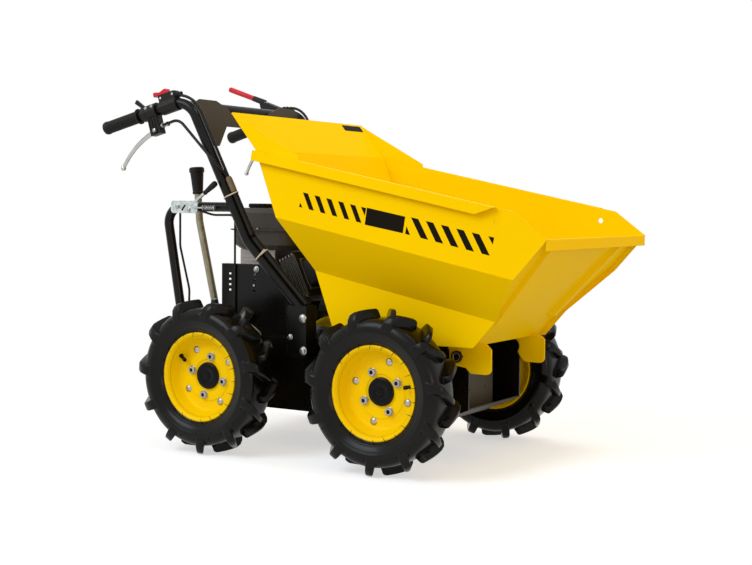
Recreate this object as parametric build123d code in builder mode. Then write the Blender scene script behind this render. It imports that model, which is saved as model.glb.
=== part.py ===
import os
from math import cos, hypot, radians, sin, tan
from build123d import *

os.makedirs("parts", exist_ok=True)

# Wheels and axles
rear_axle_x = -285.0
wheelbase = 538.0
track = 648.0
tyre_radius = 205.0
lug_height = 22.0
tyre_half_width = 54.0
tread_half_width = 44.0
bulge_radius = 150.0
lugs_per_side = 11
lug_width = 20.0
lug_slant = 36.0
lug_overlap = 5.0
lug_shoulder = 36.0
rim_flange_radius = 117.0
rim_half_width = 33.0
bead_radius = 103.0
rim_sheet = 3.5
disc_recess = 41.0
hub_flange_radius = 62.0
hub_flange_thickness = 8.0
hub_cap_radius = 35.5
hub_cap_proud = 6.0
hub_cap_chamfer = 3.0
hub_depth = 16.0
shaft_radius = 17.5
shaft_length = 75.0
axle_tube_radius = 30.0
axle_flange_radius = 58.0
axle_flange_thickness = 9.0
front_clocking = 21.9
rear_clocking = 17.6

# Fits
running_clearance = 0.3
pivot_clearance = 0.05
seat_gap = 0.1
head_gap = 0.5
hub_gap = 5.0

# Skip: rim and folds run down to the front, floor is level
skip_half_width = 320.0
skip_floor_half_width = 214.0
skip_sheet = 3.0
rim_slope = 11.5
rim_rear_x = -132.0
rim_rear_z = 800.0
rim_front_x = 603.0
upper_side_height = 156.0
slanted_side_height = 125.0
floor_z = 315.0
floor_front_x = 448.0
floor_rear_x = 49.0
front_corner_x = 688.0
front_corner_z = 587.0
hood_top_x = -212.0
hood_top_z = 898.0
cheek_end_x = 2.0
cheek_end_height = 10.0
lip_out = 16.0
lip_drop = 26.0
lip_length = 705.0
lip_end_cut = 45.0
front_inset = 14.0
tie_hole_radius = 7.0
tie_hole_x = 560.0
tie_hole_below_rim = 34.0
rib_width = 36.0
rib_height = 11.0
rib_foot_y = 168.0
rib_top_y = 226.0
rib_foot = 68.0
rib_end = 24.0
rib_taper = 20.0
lip_setback = 1.0

# Tip hinge
pivot_x = 380.0
pivot_z = 286.0
pivot_radius = 10.0
pivot_head_radius = 15.0
pivot_head_height = 9.0
bracket_lobe_radius = 24.5
bracket_thickness = 6.0
bracket_gap = 5.5
bracket_front_x = 472.0
bracket_low_z = 245.0
bracket_top_x = 457.0
bracket_top_z = 322.0
bracket_chamfer = 14.0
bracket_heel_x = 416.0
bracket_waist_x = 402.0
bracket_waist_z = 259.0
bracket_round = 14.0

# Chassis
chassis_half_width = 150.0
chassis_plate = 5.0
pan_sheet = 4.0
chassis_low_z = 105.0
chassis_top_z = 300.0
chassis_rear_x = -460.0
chassis_front_x = 405.0
rear_rise = 60.0
chin_length = 105.0
chin_rise = 45.0
front_plate_height = 122.0
front_plate_x = 354.0
front_plate_half_width = 84.0
front_top_z = 258.0
ear_radius = 22.0
deck_thickness = 5.0
deck_front_x = 345.0
rest_pad_x = 110.0
rest_pad_y = 120.0
rest_pad_length = 60.0
rest_pad_width = 36.0
transmission_length = 210.0
transmission_width = 200.0

# Handlebar, right-hand points, mirrored for the left
handle_radius = 14.0
handle_bend = 60.0
grip_end = (-677.0, -285.0, 869.0)
handle_top = (-401.0, -262.0, 945.0)
stalk_knee = (-225.0, -229.0, 563.0)
stalk_foot = (-62.0, -208.0, 385.0)
grip_length = 121.0
grip_radius = 17.0
grip_flange_radius = 21.0
grip_flange_width = 6.0
grip_end_wall = 4.0
crossbar_radius = 12.5
crossbar_x = -409.0
crossbar_z = 928.0
socket_length = 60.0
socket_width = 48.0
socket_height = 96.0
socket_foot_height = 38.0
panel_sheet = 4.0
panel_top_z = 947.0
panel_tip_z = 822.0
panel_tip_y = 152.0
panel_tip_radius = 16.0
panel_step_y = 98.0
panel_corner = 12.0
panel_mid_z = 914.0
panel_arch_z = 878.0

# Controls on the handles, by distance from the grip's end
perch_at = 166.0
perch_length = 34.0
perch_width = 24.0
perch_drop = 66.0
clamp_wall = 7.0
lever_radius = 5.0
lever_pivot_drop = 54.0
lever_tip = (-614.0, -285.0, 758.0)
lever_bow = 10.0
lever_ball_radius = 8.0
drive_at = 172.0
drive_clamp_at = 185.0
drive_clamp_length = 47.0
drive_back_at = 152.0
drive_back_height = 40.0
drive_crown_at = 160.0
drive_crown_height = 72.0
drive_nose_height = 24.0
drive_pivot_height = 60.0
drive_arm_radius = 6.0
drive_arm_length = 52.0
drive_sleeve_radius = 8.0
drive_sleeve_length = 101.0
drive_rise = 18.6
switch_at = 226.0
harness_at = 212.0
throttle_at = 141.0
switch_length = 54.0
throttle_length = 14.0
switch_height = 34.0
throttle_height = 42.0
throttle_width = 8.0
throttle_reach = 27.0
throttle_thickness = 8.0
stop_button_at = 184.0
stop_button_length = 44.0
stop_button_width = 22.0
stop_button_height = 13.0
stop_button_round = 4.0

# Stays, latch and gear lever
stay_radius = 13.0
stay_bend = 45.0
stay_y = 235.0
stay_top_x = -501.0
stay_top_z = 653.0
stay_foot_x = -439.0
stay_end_x = -272.0
stay_seat = 8.0
stay_beam_width = 40.0
stay_beam_height = 30.0
latch_plate_thickness = 5.0
latch_plate_length = 93.0
latch_plate_height = 34.0
latch_plate_x = -424.0
latch_plate_z = 652.0
latch_rod_radius = 4.5
latch_rod_length = 53.0
latch_rod_x = -392.0
latch_rod_z = 663.0
latch_grip_neck = 5.5
latch_grip_radius = 8.0
latch_grip_length = 54.0
latch_rise = 31.0
latch_splay = 10.0
gear_foot_x = -426.0
gear_y = -90.0
gear_lean = 13.7
gear_top_lean = 4.3
gear_knee_z = 612.0
gear_knee_bend = 60.0
gear_rod_radius = 10.5
gear_neck_length = 78.0
gear_boot_radius = 22.0
gear_boot_height = 28.0
gear_knob_radius = 21.5
gear_knob_length = 76.0
gear_knob_neck = 15.0
gear_knob_shoulder = 19.0
gear_knob_collar = 15.0
gear_knob_round = 4.0

# Engine
crank_x = -290.0
crank_height = 106.0
crankcase_radius = 84.0
crankcase_half_width = 75.0
engine_foot_length = 190.0
engine_foot_height = 14.0
block_length = 150.0
shroud_length = 120.0
cylinder_lean = 25.0
cylinder_core = 92.0
fin_count = 5
fin_pitch = 11.0
fin_thickness = 4.5
fin_width = 130.0
fin_height = 130.0
head_length = 50.0
head_width = 96.0
head_height = 84.0
pulley_radius = 42.0
pulley_width = 40.0
starter_radius = 102.0
starter_depth = 56.0
starter_cap_radius = 84.0
starter_cap_depth = 24.0
starter_slots = 10
tank_x = -280.0
tank_length = 200.0
tank_width = 210.0
tank_low_z = 534.0
tank_seam_z = 588.0
tank_top_z = 651.0
tank_corner = 36.0
tank_taper = 14.0
tank_flange = 7.0
tank_flange_height = 4.0
cap_radius = 33.0
cap_height = 12.0
cap_x = -320.0
cap_y = -42.0
muffler_length = 118.0
muffler_height = 66.0
muffler_depth = 70.0
muffler_x = -125.0
muffler_z = 412.0
pipe_radius = 10.0
pipe_length = 18.0
filter_length = 104.0
filter_height = 96.0
filter_depth = 84.0
filter_x = -124.0
filter_z = 488.0
port_x = -150.0
intake_z = 505.0
exhaust_z = 455.0
guard_rear_x = -373.0
guard_front_x = -197.0
guard_top_z = 496.0
guard_sheet = 3.0
guard_flange = 25.0
guard_hole_width = 9.0
guard_hole_height = 5.0
guard_hole_pitch = 15.0
guard_slope_x = 40.0
guard_slope_z = 56.0
guard_hole_column = 84.0
guard_hole_x = -345.0
guard_hole_z = 446.0

# Cables
cable_radius = 4.0
thin_cable_radius = 3.0
conduit_radius = 7.0
conduit_top = 0.6
cable_gap = 0.5
cable_bend = 40.0
cable_run = 70.0
cable_swing = 10.0
cable_crossing = 0.42
latch_plate_round = 10.0

# Lines that several pieces share
front_axle_x = rear_axle_x + wheelbase
wheel_y = track / 2
axle_z = tyre_radius
carcass_radius = tyre_radius - lug_height
deck_z = chassis_top_z + deck_thickness
crank_z = deck_z + crank_height
disc_y = wheel_y + rim_half_width + rim_sheet - disc_recess
hub_back_y = disc_y - rim_sheet - hub_depth
axle_end_y = hub_back_y - hub_gap
bracket_y = chassis_half_width + bracket_gap


def offset_line(points, distance):
    """The open line moved to its left by a distance, with mitred corners."""
    normals = []
    for (ax, ay), (bx, by) in zip(points, points[1:]):
        length = hypot(bx - ax, by - ay)
        normals.append((-(by - ay) / length, (bx - ax) / length))
    moved = []
    for index, (x, y) in enumerate(points):
        before = normals[max(index - 1, 0)]
        after = normals[min(index, len(normals) - 1)]
        mid_x = before[0] + after[0]
        mid_y = before[1] + after[1]
        scale = 2 * distance / (mid_x * mid_x + mid_y * mid_y)
        moved.append((x + mid_x * scale, y + mid_y * scale))
    return moved


def folded(points, thickness):
    """Closed outline of a sheet folded along an open line, its thickness on the line's left."""
    return list(points) + offset_line(points, thickness)[::-1]


def bent_tube(points, bend, radius):
    """A round bar along straight runs joined by tangent arcs."""
    with BuildPart() as tube:
        with BuildLine() as path:
            FilletPolyline(*points, radius=bend)
        with BuildSketch(Plane(origin=path.line @ 0, z_dir=path.line % 0)):
            Circle(radius)
        sweep()
    return tube.part


# Skip planes: `run` follows the rim, the others close the ends and the floor
slope = radians(rim_slope)
skip_length = front_corner_x - hood_top_x
skip_depth = hood_top_z - floor_z
run = Plane(origin=(rim_rear_x, 0, rim_rear_z), x_dir=(0, 1, 0), z_dir=(cos(slope), 0, -sin(slope)))
rear_run = (floor_rear_x - rim_rear_x, rim_rear_z - floor_z)
rear_face = Plane(
    origin=(rim_rear_x, 0, rim_rear_z), x_dir=(0, 1, 0), z_dir=(rear_run[1], 0, rear_run[0])
)
front_run = (front_corner_x - floor_front_x, front_corner_z - floor_z)
front_length = hypot(*front_run)
front_face = Plane(
    origin=(floor_front_x, 0, floor_z), x_dir=(0, -1, 0), z_dir=(-front_run[1], 0, front_run[0])
)
panel_face = front_face.offset(front_inset)
floor_face = Plane(origin=(0, 0, floor_z))
rim_front_z = rim_rear_z - (rim_front_x - rim_rear_x) * tan(slope)
nose_face = Plane(
    origin=(rim_front_x, 0, rim_front_z),
    x_dir=(0, 1, 0),
    z_dir=(front_corner_z - rim_front_z, 0, rim_front_x - front_corner_x),
)
panel_shift = front_length / front_run[1] * front_inset
panel_top_x = front_corner_x - panel_shift
panel_foot_x = floor_front_x - panel_shift
side_line = [
    (-skip_half_width, 0),
    (-skip_half_width, -upper_side_height),
    (-skip_floor_half_width, -upper_side_height - slanted_side_height),
    (-skip_floor_half_width, -skip_depth),
]
inner_line = offset_line(side_line, skip_sheet)

with BuildPart() as skip_inside:
    with BuildSketch(run):
        with BuildLine():
            right_half = [(inner_line[0][0], skip_depth)] + inner_line[1:]
            left_half = [(-x, y) for x, y in reversed(right_half)]
            Polyline(*right_half, *left_half, close=True)
        make_face()
    extrude(amount=skip_length, both=True)


def side_panel(fold):
    """One flat panel of the right side, between two folds, trimmed by the ends and the floor."""
    with BuildPart() as panel:
        with BuildSketch(run):
            with BuildLine():
                Polyline(
                    side_line[fold],
                    side_line[fold + 1],
                    inner_line[fold + 1],
                    inner_line[fold],
                    close=True,
                )
            make_face()
        extrude(amount=skip_length, both=True)
        for face in (floor_face, rear_face, front_face, nose_face):
            split(bisect_by=face, keep=Keep.TOP)
    return panel.part


with BuildPart() as skip_upper_sides:
    with BuildSketch(run):
        lip_line = [
            (-skip_half_width, 0),
            (-skip_half_width - lip_out, 0),
            (-skip_half_width - lip_out, -lip_drop),
        ]
        with BuildLine():
            Polyline(*folded(lip_line, skip_sheet), close=True)
        make_face()
    extrude(amount=lip_length)
    lip_end = Plane(
        origin=run.origin + run.z_dir * lip_length,
        x_dir=(0, 1, 0),
        z_dir=run.z_dir * lip_drop - run.y_dir * lip_end_cut,
    )
    split(bisect_by=lip_end, keep=Keep.BOTTOM)
    add(side_panel(0))
    tie_hole_z = rim_rear_z - (tie_hole_x - rim_rear_x) * tan(slope) - tie_hole_below_rim
    with Locations(Location((tie_hole_x, -skip_half_width, tie_hole_z), (90, 0, 0))):
        Cylinder(tie_hole_radius, 4 * skip_sheet, mode=Mode.SUBTRACT)
    mirror(about=Plane.XZ)
skip_upper_sides.part.label = "skip_upper_sides"
export_step(skip_upper_sides.part, "parts/skip_upper_sides.step")

for fold, name in ((1, "skip_slanted_sides"), (2, "skip_lower_sides")):
    with BuildPart() as skip_sides:
        add(side_panel(fold))
        mirror(about=Plane.XZ)
    skip_sides.part.label = name
    export_step(skip_sides.part, "parts/" + name + ".step")

with BuildPart() as skip_cheeks:
    with BuildSketch(Plane.XZ.offset(skip_half_width)):
        with BuildLine():
            cheek_z = rim_rear_z - (cheek_end_x - rim_rear_x) * tan(slope)
            Polyline(
                (rim_rear_x, rim_rear_z),
                (hood_top_x, hood_top_z),
                (cheek_end_x, cheek_z + cheek_end_height),
                (cheek_end_x, cheek_z),
                close=True,
            )
        make_face()
    extrude(amount=-skip_sheet)
    mirror(about=Plane.XZ)
skip_cheeks.part.label = "skip_cheeks"
export_step(skip_cheeks.part, "parts/skip_cheeks.step")

with BuildPart() as skip_rear_wall:
    with BuildSketch(Plane.XZ.offset(skip_half_width)):
        with BuildLine():
            rear_line = [
                (hood_top_x, hood_top_z),
                (rim_rear_x, rim_rear_z),
                (rim_rear_x + 2 * rear_run[0], rim_rear_z - 2 * rear_run[1]),
            ]
            Polyline(*folded(rear_line, skip_sheet), close=True)
        make_face()
    extrude(amount=-2 * skip_half_width)
    add(skip_inside.part, mode=Mode.INTERSECT)
    split(bisect_by=floor_face, keep=Keep.TOP)
skip_rear_wall.part.label = "skip_rear_wall"
export_step(skip_rear_wall.part, "parts/skip_rear_wall.step")

with BuildPart() as skip_front_panel:
    with BuildSketch(panel_face):
        Rectangle(2 * skip_half_width, 2 * skip_length)
    extrude(amount=skip_sheet)
    add(skip_inside.part, mode=Mode.INTERSECT)
    split(bisect_by=floor_face, keep=Keep.TOP)
    split(bisect_by=Plane(origin=(0, 0, front_corner_z)), keep=Keep.BOTTOM)
    with BuildSketch(Plane.XZ.offset(skip_half_width - skip_sheet)):
        lip_front_x = front_corner_x - lip_setback
        front_lip_line = [
            (panel_top_x - skip_sheet, front_corner_z),
            (lip_front_x, front_corner_z),
            (lip_front_x, front_corner_z - lip_drop),
        ]
        with BuildLine():
            Polyline(*folded(front_lip_line, -skip_sheet), close=True)
        make_face()
    extrude(amount=-2 * (skip_half_width - skip_sheet))
    for side in (-1, 1):
        with BuildSketch(panel_face):
            with BuildLine():
                Polyline(
                    (side * (rib_foot_y - rib_width / 2), rib_foot),
                    (side * (rib_foot_y + rib_width / 2), rib_foot),
                    (side * (rib_top_y + rib_width / 2), front_length - rib_end),
                    (side * (rib_top_y - rib_width / 2), front_length - rib_end),
                    close=True,
                )
            make_face()
        extrude(amount=-rib_height, taper=rib_taper)
skip_front_panel.part.label = "skip_front_panel"
export_step(skip_front_panel.part, "parts/skip_front_panel.step")

with BuildPart() as skip_floor:
    with BuildSketch(floor_face):
        Rectangle(2 * skip_length, 2 * skip_half_width)
    extrude(amount=skip_sheet)
    add(skip_inside.part, mode=Mode.INTERSECT)
    split(bisect_by=rear_face.offset(skip_sheet), keep=Keep.TOP)
    split(bisect_by=panel_face.offset(skip_sheet), keep=Keep.TOP)
skip_floor.part.label = "skip_floor"
export_step(skip_floor.part, "parts/skip_floor.step")

with BuildPart() as skip_hinge_brackets:
    with BuildSketch(Plane.XZ.offset(bracket_y)) as bracket_sketch:
        panel_rise = front_run[1] / front_run[0]
        with BuildLine():
            Polyline(
                (pivot_x - bracket_lobe_radius, pivot_z),
                (pivot_x - bracket_lobe_radius, floor_z),
                (panel_foot_x, floor_z),
                (panel_foot_x + (bracket_top_z - floor_z) / panel_rise, bracket_top_z),
                (bracket_top_x, bracket_top_z),
                (bracket_front_x, bracket_top_z - bracket_chamfer),
                (bracket_front_x, bracket_low_z),
                (bracket_heel_x, bracket_low_z),
                (bracket_waist_x, bracket_waist_z),
                (pivot_x, pivot_z - bracket_lobe_radius),
                close=True,
            )
        make_face()
        fillet(bracket_sketch.vertices().sort_by(Axis.Y)[:2], bracket_round)
        with Locations((pivot_x, pivot_z)):
            Circle(bracket_lobe_radius)
            Circle(pivot_radius + pivot_clearance, mode=Mode.SUBTRACT)
    extrude(amount=bracket_thickness)
    mirror(about=Plane.XZ)
skip_hinge_brackets.part.label = "skip_hinge_brackets"
export_step(skip_hinge_brackets.part, "parts/skip_hinge_brackets.step")

# Chassis
with BuildPart() as pivot_bolts:
    with BuildSketch(Plane.XZ.offset(chassis_half_width - chassis_plate)):
        with Locations((pivot_x, pivot_z)):
            Circle(pivot_radius)
    extrude(amount=chassis_plate + bracket_gap + bracket_thickness + head_gap)
    with BuildSketch(Plane.XZ.offset(chassis_half_width)):
        with Locations((pivot_x, pivot_z)):
            RegularPolygon(pivot_head_radius, 12)
    extrude(amount=bracket_gap - running_clearance)
    with BuildSketch(Plane.XZ.offset(bracket_y + bracket_thickness + head_gap)):
        with Locations((pivot_x, pivot_z)):
            RegularPolygon(pivot_head_radius, 6)
    extrude(amount=pivot_head_height)
    mirror(about=Plane.XZ)
pivot_bolts.part.label = "pivot_bolts"
export_step(pivot_bolts.part, "parts/pivot_bolts.step")

keel_line = [
    (chassis_rear_x, chassis_top_z),
    (chassis_rear_x, chassis_low_z + rear_rise),
    (chassis_rear_x + rear_rise, chassis_low_z),
    (chassis_front_x - chin_length, chassis_low_z),
    (chassis_front_x, chassis_low_z + chin_rise),
]
with BuildPart() as chassis_side_plates:
    with BuildSketch(Plane.XZ.offset(chassis_half_width - chassis_plate)):
        with BuildLine():
            Polyline(
                *keel_line,
                (chassis_front_x, front_top_z),
                (pivot_x, pivot_z + ear_radius),
                (pivot_x - ear_radius, chassis_top_z),
                close=True,
            )
        make_face()
        with Locations((pivot_x, pivot_z)):
            Circle(ear_radius)
            Circle(pivot_radius, mode=Mode.SUBTRACT)
    extrude(amount=chassis_plate)
    mirror(about=Plane.XZ)
chassis_side_plates.part.label = "chassis_side_plates"
export_step(chassis_side_plates.part, "parts/chassis_side_plates.step")

with BuildPart() as chassis_pan:
    with BuildSketch(Plane.XZ.offset(chassis_half_width - chassis_plate)):
        with BuildLine():
            Polyline(*folded(keel_line, pan_sheet), close=True)
        make_face()
    extrude(amount=-2 * (chassis_half_width - chassis_plate))
    chin_share = 1 - (chassis_front_x - front_plate_x) / chin_length
    with Locations((front_plate_x, 0, chassis_low_z + chin_share * chin_rise + pan_sheet / 2)):
        Box(
            pan_sheet,
            2 * front_plate_half_width,
            front_plate_height,
            align=(Align.CENTER, Align.CENTER, Align.MIN),
        )
chassis_pan.part.label = "chassis_pan"
export_step(chassis_pan.part, "parts/chassis_pan.step")

with BuildPart() as chassis_deck:
    with BuildSketch(Plane(origin=(0, 0, chassis_top_z))):
        with Locations(((chassis_rear_x + deck_front_x) / 2, 0)):
            Rectangle(deck_front_x - chassis_rear_x, 2 * chassis_half_width)
    extrude(amount=deck_thickness)
chassis_deck.part.label = "chassis_deck"
export_step(chassis_deck.part, "parts/chassis_deck.step")

with BuildPart() as skip_rest_pads:
    with Locations((rest_pad_x, rest_pad_y, deck_z), (rest_pad_x, -rest_pad_y, deck_z)):
        Box(
            rest_pad_length,
            rest_pad_width,
            floor_z - deck_z - running_clearance,
            align=(Align.CENTER, Align.CENTER, Align.MIN),
        )
skip_rest_pads.part.label = "skip_rest_pads"
export_step(skip_rest_pads.part, "parts/skip_rest_pads.step")

with BuildPart() as transmission:
    with Locations((rear_axle_x, 0, chassis_low_z + pan_sheet)):
        Box(
            transmission_length,
            transmission_width,
            chassis_top_z - chassis_low_z - pan_sheet,
            align=(Align.CENTER, Align.CENTER, Align.MIN),
        )
transmission.part.label = "transmission"
export_step(transmission.part, "parts/transmission.step")

shaft_end_y = hub_back_y - shaft_length
for axle_name, axle_x in (("axle_front", front_axle_x), ("axle_rear", rear_axle_x)):
    with BuildPart() as axle:
        with BuildSketch(Plane.XZ.offset(chassis_half_width)):
            with Locations((axle_x, axle_z)):
                Circle(axle_flange_radius)
        extrude(amount=axle_flange_thickness)
        with BuildSketch(Plane.XZ.offset(chassis_half_width)):
            with Locations((axle_x, axle_z)):
                Circle(axle_tube_radius)
        extrude(amount=axle_end_y - chassis_half_width)
        with BuildSketch(Plane.XZ.offset(shaft_end_y - hub_gap)):
            with Locations((axle_x, axle_z)):
                Circle(shaft_radius + running_clearance)
        extrude(amount=axle_end_y, mode=Mode.SUBTRACT)
        mirror(about=Plane.XZ)
    axle.part.label = axle_name
    export_step(axle.part, "parts/" + axle_name + ".step")

# Wheels, built once about the origin with the wheel axis on Y and the outer face on -Y
facets = 2 * lugs_per_side
lug_reach = (lug_slant + lug_width) / 2
lug_top = (tyre_radius**2 - lug_reach**2) ** 0.5
lug_foot = bulge_radius + (carcass_radius - bulge_radius) / 3
lug_end = (tyre_half_width + tread_half_width) / 2
with BuildPart() as lug:
    with BuildSketch(Plane(origin=(0, 0, lug_foot))):
        with BuildLine():
            Polyline(
                (lug_reach, lug_overlap),
                (lug_reach - lug_width, lug_overlap),
                (-lug_reach, -lug_end),
                (-lug_reach + lug_width, -lug_end),
                close=True,
            )
        make_face()
    extrude(amount=lug_top - lug_foot)
    split(
        bisect_by=Plane(
            origin=(0, -lug_shoulder, lug_top),
            x_dir=(1, 0, 0),
            z_dir=(0, lug_foot - lug_top, lug_end - lug_shoulder),
        ),
        keep=Keep.BOTTOM,
    )

with BuildPart() as tyre:
    for y, radius in (
        (-tyre_half_width, bulge_radius),
        (-tread_half_width, carcass_radius),
        (tread_half_width, carcass_radius),
        (tyre_half_width, bulge_radius),
    ):
        with BuildSketch(Plane.XZ.offset(-y)):
            RegularPolygon(radius, facets)
    loft(ruled=True)
    for side in (-1, 1):
        with BuildSketch(Plane.XZ.offset(-side * tyre_half_width)):
            RegularPolygon(bulge_radius - rim_sheet, facets)
        with BuildSketch(Plane.XZ.offset(-side * (rim_half_width - seat_gap))):
            RegularPolygon(rim_flange_radius, facets, major_radius=False)
        loft(ruled=True, mode=Mode.SUBTRACT)
    with BuildSketch(Plane.XZ.offset(-tyre_half_width)):
        RegularPolygon(bead_radius + seat_gap, facets, major_radius=False)
    extrude(amount=2 * tyre_half_width, mode=Mode.SUBTRACT)
    pitch = 360 / lugs_per_side
    for step in range(lugs_per_side):
        add(lug.part.rotate(Axis.Y, step * pitch))
    other_lug = mirror(lug.part, about=Plane.XZ, mode=Mode.PRIVATE)
    for step in range(lugs_per_side):
        add(other_lug.rotate(Axis.Y, (step + 0.5) * pitch))

disc_out = disc_recess - rim_half_width - rim_sheet
with BuildPart() as rim:
    with BuildSketch(Plane.YZ):
        with BuildLine():
            Polyline(
                (-rim_half_width - rim_sheet, rim_flange_radius),
                (-rim_half_width, rim_flange_radius),
                (-rim_half_width, bead_radius),
                (rim_half_width, bead_radius),
                (rim_half_width, rim_flange_radius),
                (rim_half_width + rim_sheet, rim_flange_radius),
                (rim_half_width + rim_sheet, bead_radius - rim_sheet),
                (disc_out + rim_sheet, bead_radius - rim_sheet),
                (disc_out + rim_sheet, hub_cap_radius + seat_gap),
                (disc_out, hub_cap_radius + seat_gap),
                (disc_out, bead_radius - rim_sheet),
                (-rim_half_width - rim_sheet, bead_radius - rim_sheet),
                close=True,
            )
        make_face()
    revolve(axis=Axis.Y)

with BuildPart() as hub:
    with BuildSketch(Plane.YZ):
        disc_back = disc_out + rim_sheet
        cap_face = disc_out - hub_cap_proud
        hub_back = disc_back + hub_depth
        with BuildLine():
            Polyline(
                (cap_face, 0),
                (cap_face, hub_cap_radius - hub_cap_chamfer),
                (cap_face + hub_cap_chamfer, hub_cap_radius),
                (disc_back, hub_cap_radius),
                (disc_back, hub_flange_radius),
                (disc_back + hub_flange_thickness, hub_flange_radius),
                (hub_back, hub_cap_radius),
                (hub_back, shaft_radius),
                (hub_back + shaft_length, shaft_radius),
                (hub_back + shaft_length, 0),
                close=True,
            )
        make_face()
    revolve(axis=Axis.Y)

for place, axle_x, clocking in (
    ("front", front_axle_x, front_clocking),
    ("rear", rear_axle_x, rear_clocking),
):
    for piece, shape in (("tyre", tyre), ("rim", rim), ("hub", hub)):
        name = piece + "_" + place + "_right"
        with BuildPart() as wheel_piece:
            with Locations(Location((axle_x, -wheel_y, axle_z), (0, clocking, 0))):
                add(shape.part)
        wheel_piece.part.label = name
        export_step(wheel_piece.part, "parts/" + name + ".step")
        name = piece + "_" + place + "_left"
        with BuildPart() as wheel_mirror:
            mirror(wheel_piece.part, about=Plane.XZ)
        wheel_mirror.part.label = name
        export_step(wheel_mirror.part, "parts/" + name + ".step")

# Handlebar
with BuildPart() as handle_tubes:
    add(bent_tube([grip_end, handle_top, stalk_knee, stalk_foot], handle_bend, handle_radius))
    mirror(about=Plane.XZ)
handle_tubes.part.label = "handle_tubes"
export_step(handle_tubes.part, "parts/handle_tubes.step")

with BuildPart() as handle_crossbar:
    with BuildSketch(Plane.XZ.offset(-handle_top[1])):
        with Locations((crossbar_x, crossbar_z)):
            Circle(crossbar_radius)
    extrude(amount=2 * handle_top[1])
    add(handle_tubes.part, mode=Mode.SUBTRACT)
handle_crossbar.part.label = "handle_crossbar"
export_step(handle_crossbar.part, "parts/handle_crossbar.step")

handle_axis = (Vector(*handle_top) - Vector(*grip_end)).normalized()


def on_handle(distance):
    """Plane across the right handle at a distance from the grip's end, its y axis up."""
    return Plane(
        origin=Vector(*grip_end) + handle_axis * distance,
        x_dir=Vector(0, 0, 1).cross(handle_axis),
        z_dir=handle_axis,
    )


with BuildPart() as hand_grips:
    with BuildSketch(on_handle(-grip_end_wall)):
        Circle(grip_radius)
    extrude(amount=grip_length + grip_end_wall)
    with BuildSketch(on_handle(grip_length - grip_flange_width)):
        RegularPolygon(grip_flange_radius, 16)
    extrude(amount=grip_flange_width)
    with BuildSketch(on_handle(0)):
        Circle(handle_radius)
    extrude(amount=grip_length, mode=Mode.SUBTRACT)
    mirror(about=Plane.XZ)
hand_grips.part.label = "hand_grips"
export_step(hand_grips.part, "parts/hand_grips.step")

with BuildPart() as handle_sockets:
    socket_y = stalk_foot[1] - socket_width / 2
    with Locations((stalk_foot[0], -chassis_half_width, chassis_top_z)):
        Box(
            socket_length,
            -socket_y - chassis_half_width,
            socket_foot_height,
            align=(Align.CENTER, Align.MAX, Align.MAX),
        )
    with Locations((stalk_foot[0], stalk_foot[1], chassis_top_z)):
        Box(
            socket_length,
            socket_width,
            socket_height,
            align=(Align.CENTER, Align.CENTER, Align.MIN),
        )
    add(handle_tubes.part, mode=Mode.SUBTRACT)
    mirror(about=Plane.XZ)
handle_sockets.part.label = "handle_sockets"
export_step(handle_sockets.part, "parts/handle_sockets.step")

panel_edge_y = -handle_top[1] - handle_radius - seat_gap
with BuildPart() as dash_panel:
    with BuildSketch(
        Plane(origin=(crossbar_x + crossbar_radius, 0, 0), x_dir=(0, 1, 0), z_dir=(1, 0, 0))
    ) as panel_sketch:
        with BuildLine():
            Polyline(
                (0, panel_mid_z),
                (-panel_step_y + panel_tip_radius, panel_mid_z),
                (-panel_step_y, crossbar_z),
                (-panel_tip_y, panel_top_z),
                (-panel_edge_y + 2 * panel_corner, panel_top_z),
                (-panel_edge_y, panel_top_z - panel_corner),
                (-panel_edge_y, panel_arch_z),
                (-panel_tip_y - panel_tip_radius, panel_tip_z),
                (-panel_tip_y + panel_tip_radius, panel_tip_z),
                (-panel_tip_y + 3 * panel_tip_radius, panel_arch_z),
                (0, panel_arch_z),
                close=True,
            )
        make_face()
        fillet(panel_sketch.vertices().sort_by(Axis.Y)[:2], panel_tip_radius / 2)
        mirror(about=Plane.YZ)
    extrude(amount=panel_sheet)
    add(handle_tubes.part, mode=Mode.SUBTRACT)
dash_panel.part.label = "dash_panel"
export_step(dash_panel.part, "parts/dash_panel.step")

# Controls
clamp_radius = handle_radius + clamp_wall
handle_up = on_handle(0).y_dir
handle_side = Plane(
    origin=grip_end, x_dir=handle_axis, z_dir=handle_axis.cross(handle_up)
)
with BuildPart() as lever_perches:
    with BuildSketch(on_handle(perch_at - perch_length / 2)):
        Circle(clamp_radius)
        with Locations((0, -perch_drop / 2)):
            Rectangle(perch_width, perch_drop)
        Circle(handle_radius, mode=Mode.SUBTRACT)
    extrude(amount=perch_length)
    mirror(about=Plane.XZ)
    with BuildPart(mode=Mode.PRIVATE) as drive_perch:
        with BuildSketch(handle_side.offset(-perch_width / 2)):
            with BuildLine():
                Polyline(
                    (drive_clamp_at, 0),
                    (drive_clamp_at + drive_clamp_length, 0),
                    (drive_clamp_at + drive_clamp_length, drive_nose_height),
                    (drive_crown_at, drive_crown_height),
                    (drive_back_at, drive_crown_height - drive_crown_at + drive_back_at),
                    (drive_back_at, drive_back_height),
                    (drive_clamp_at, drive_nose_height),
                    close=True,
                )
            make_face()
        extrude(amount=perch_width)
        with BuildSketch(on_handle(drive_clamp_at)):
            Circle(clamp_radius)
        extrude(amount=drive_clamp_length / 2)
        add(handle_tubes.part, mode=Mode.SUBTRACT)
    mirror(drive_perch.part, about=Plane.XZ)
lever_perches.part.label = "lever_perches"
export_step(lever_perches.part, "parts/lever_perches.step")

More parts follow.
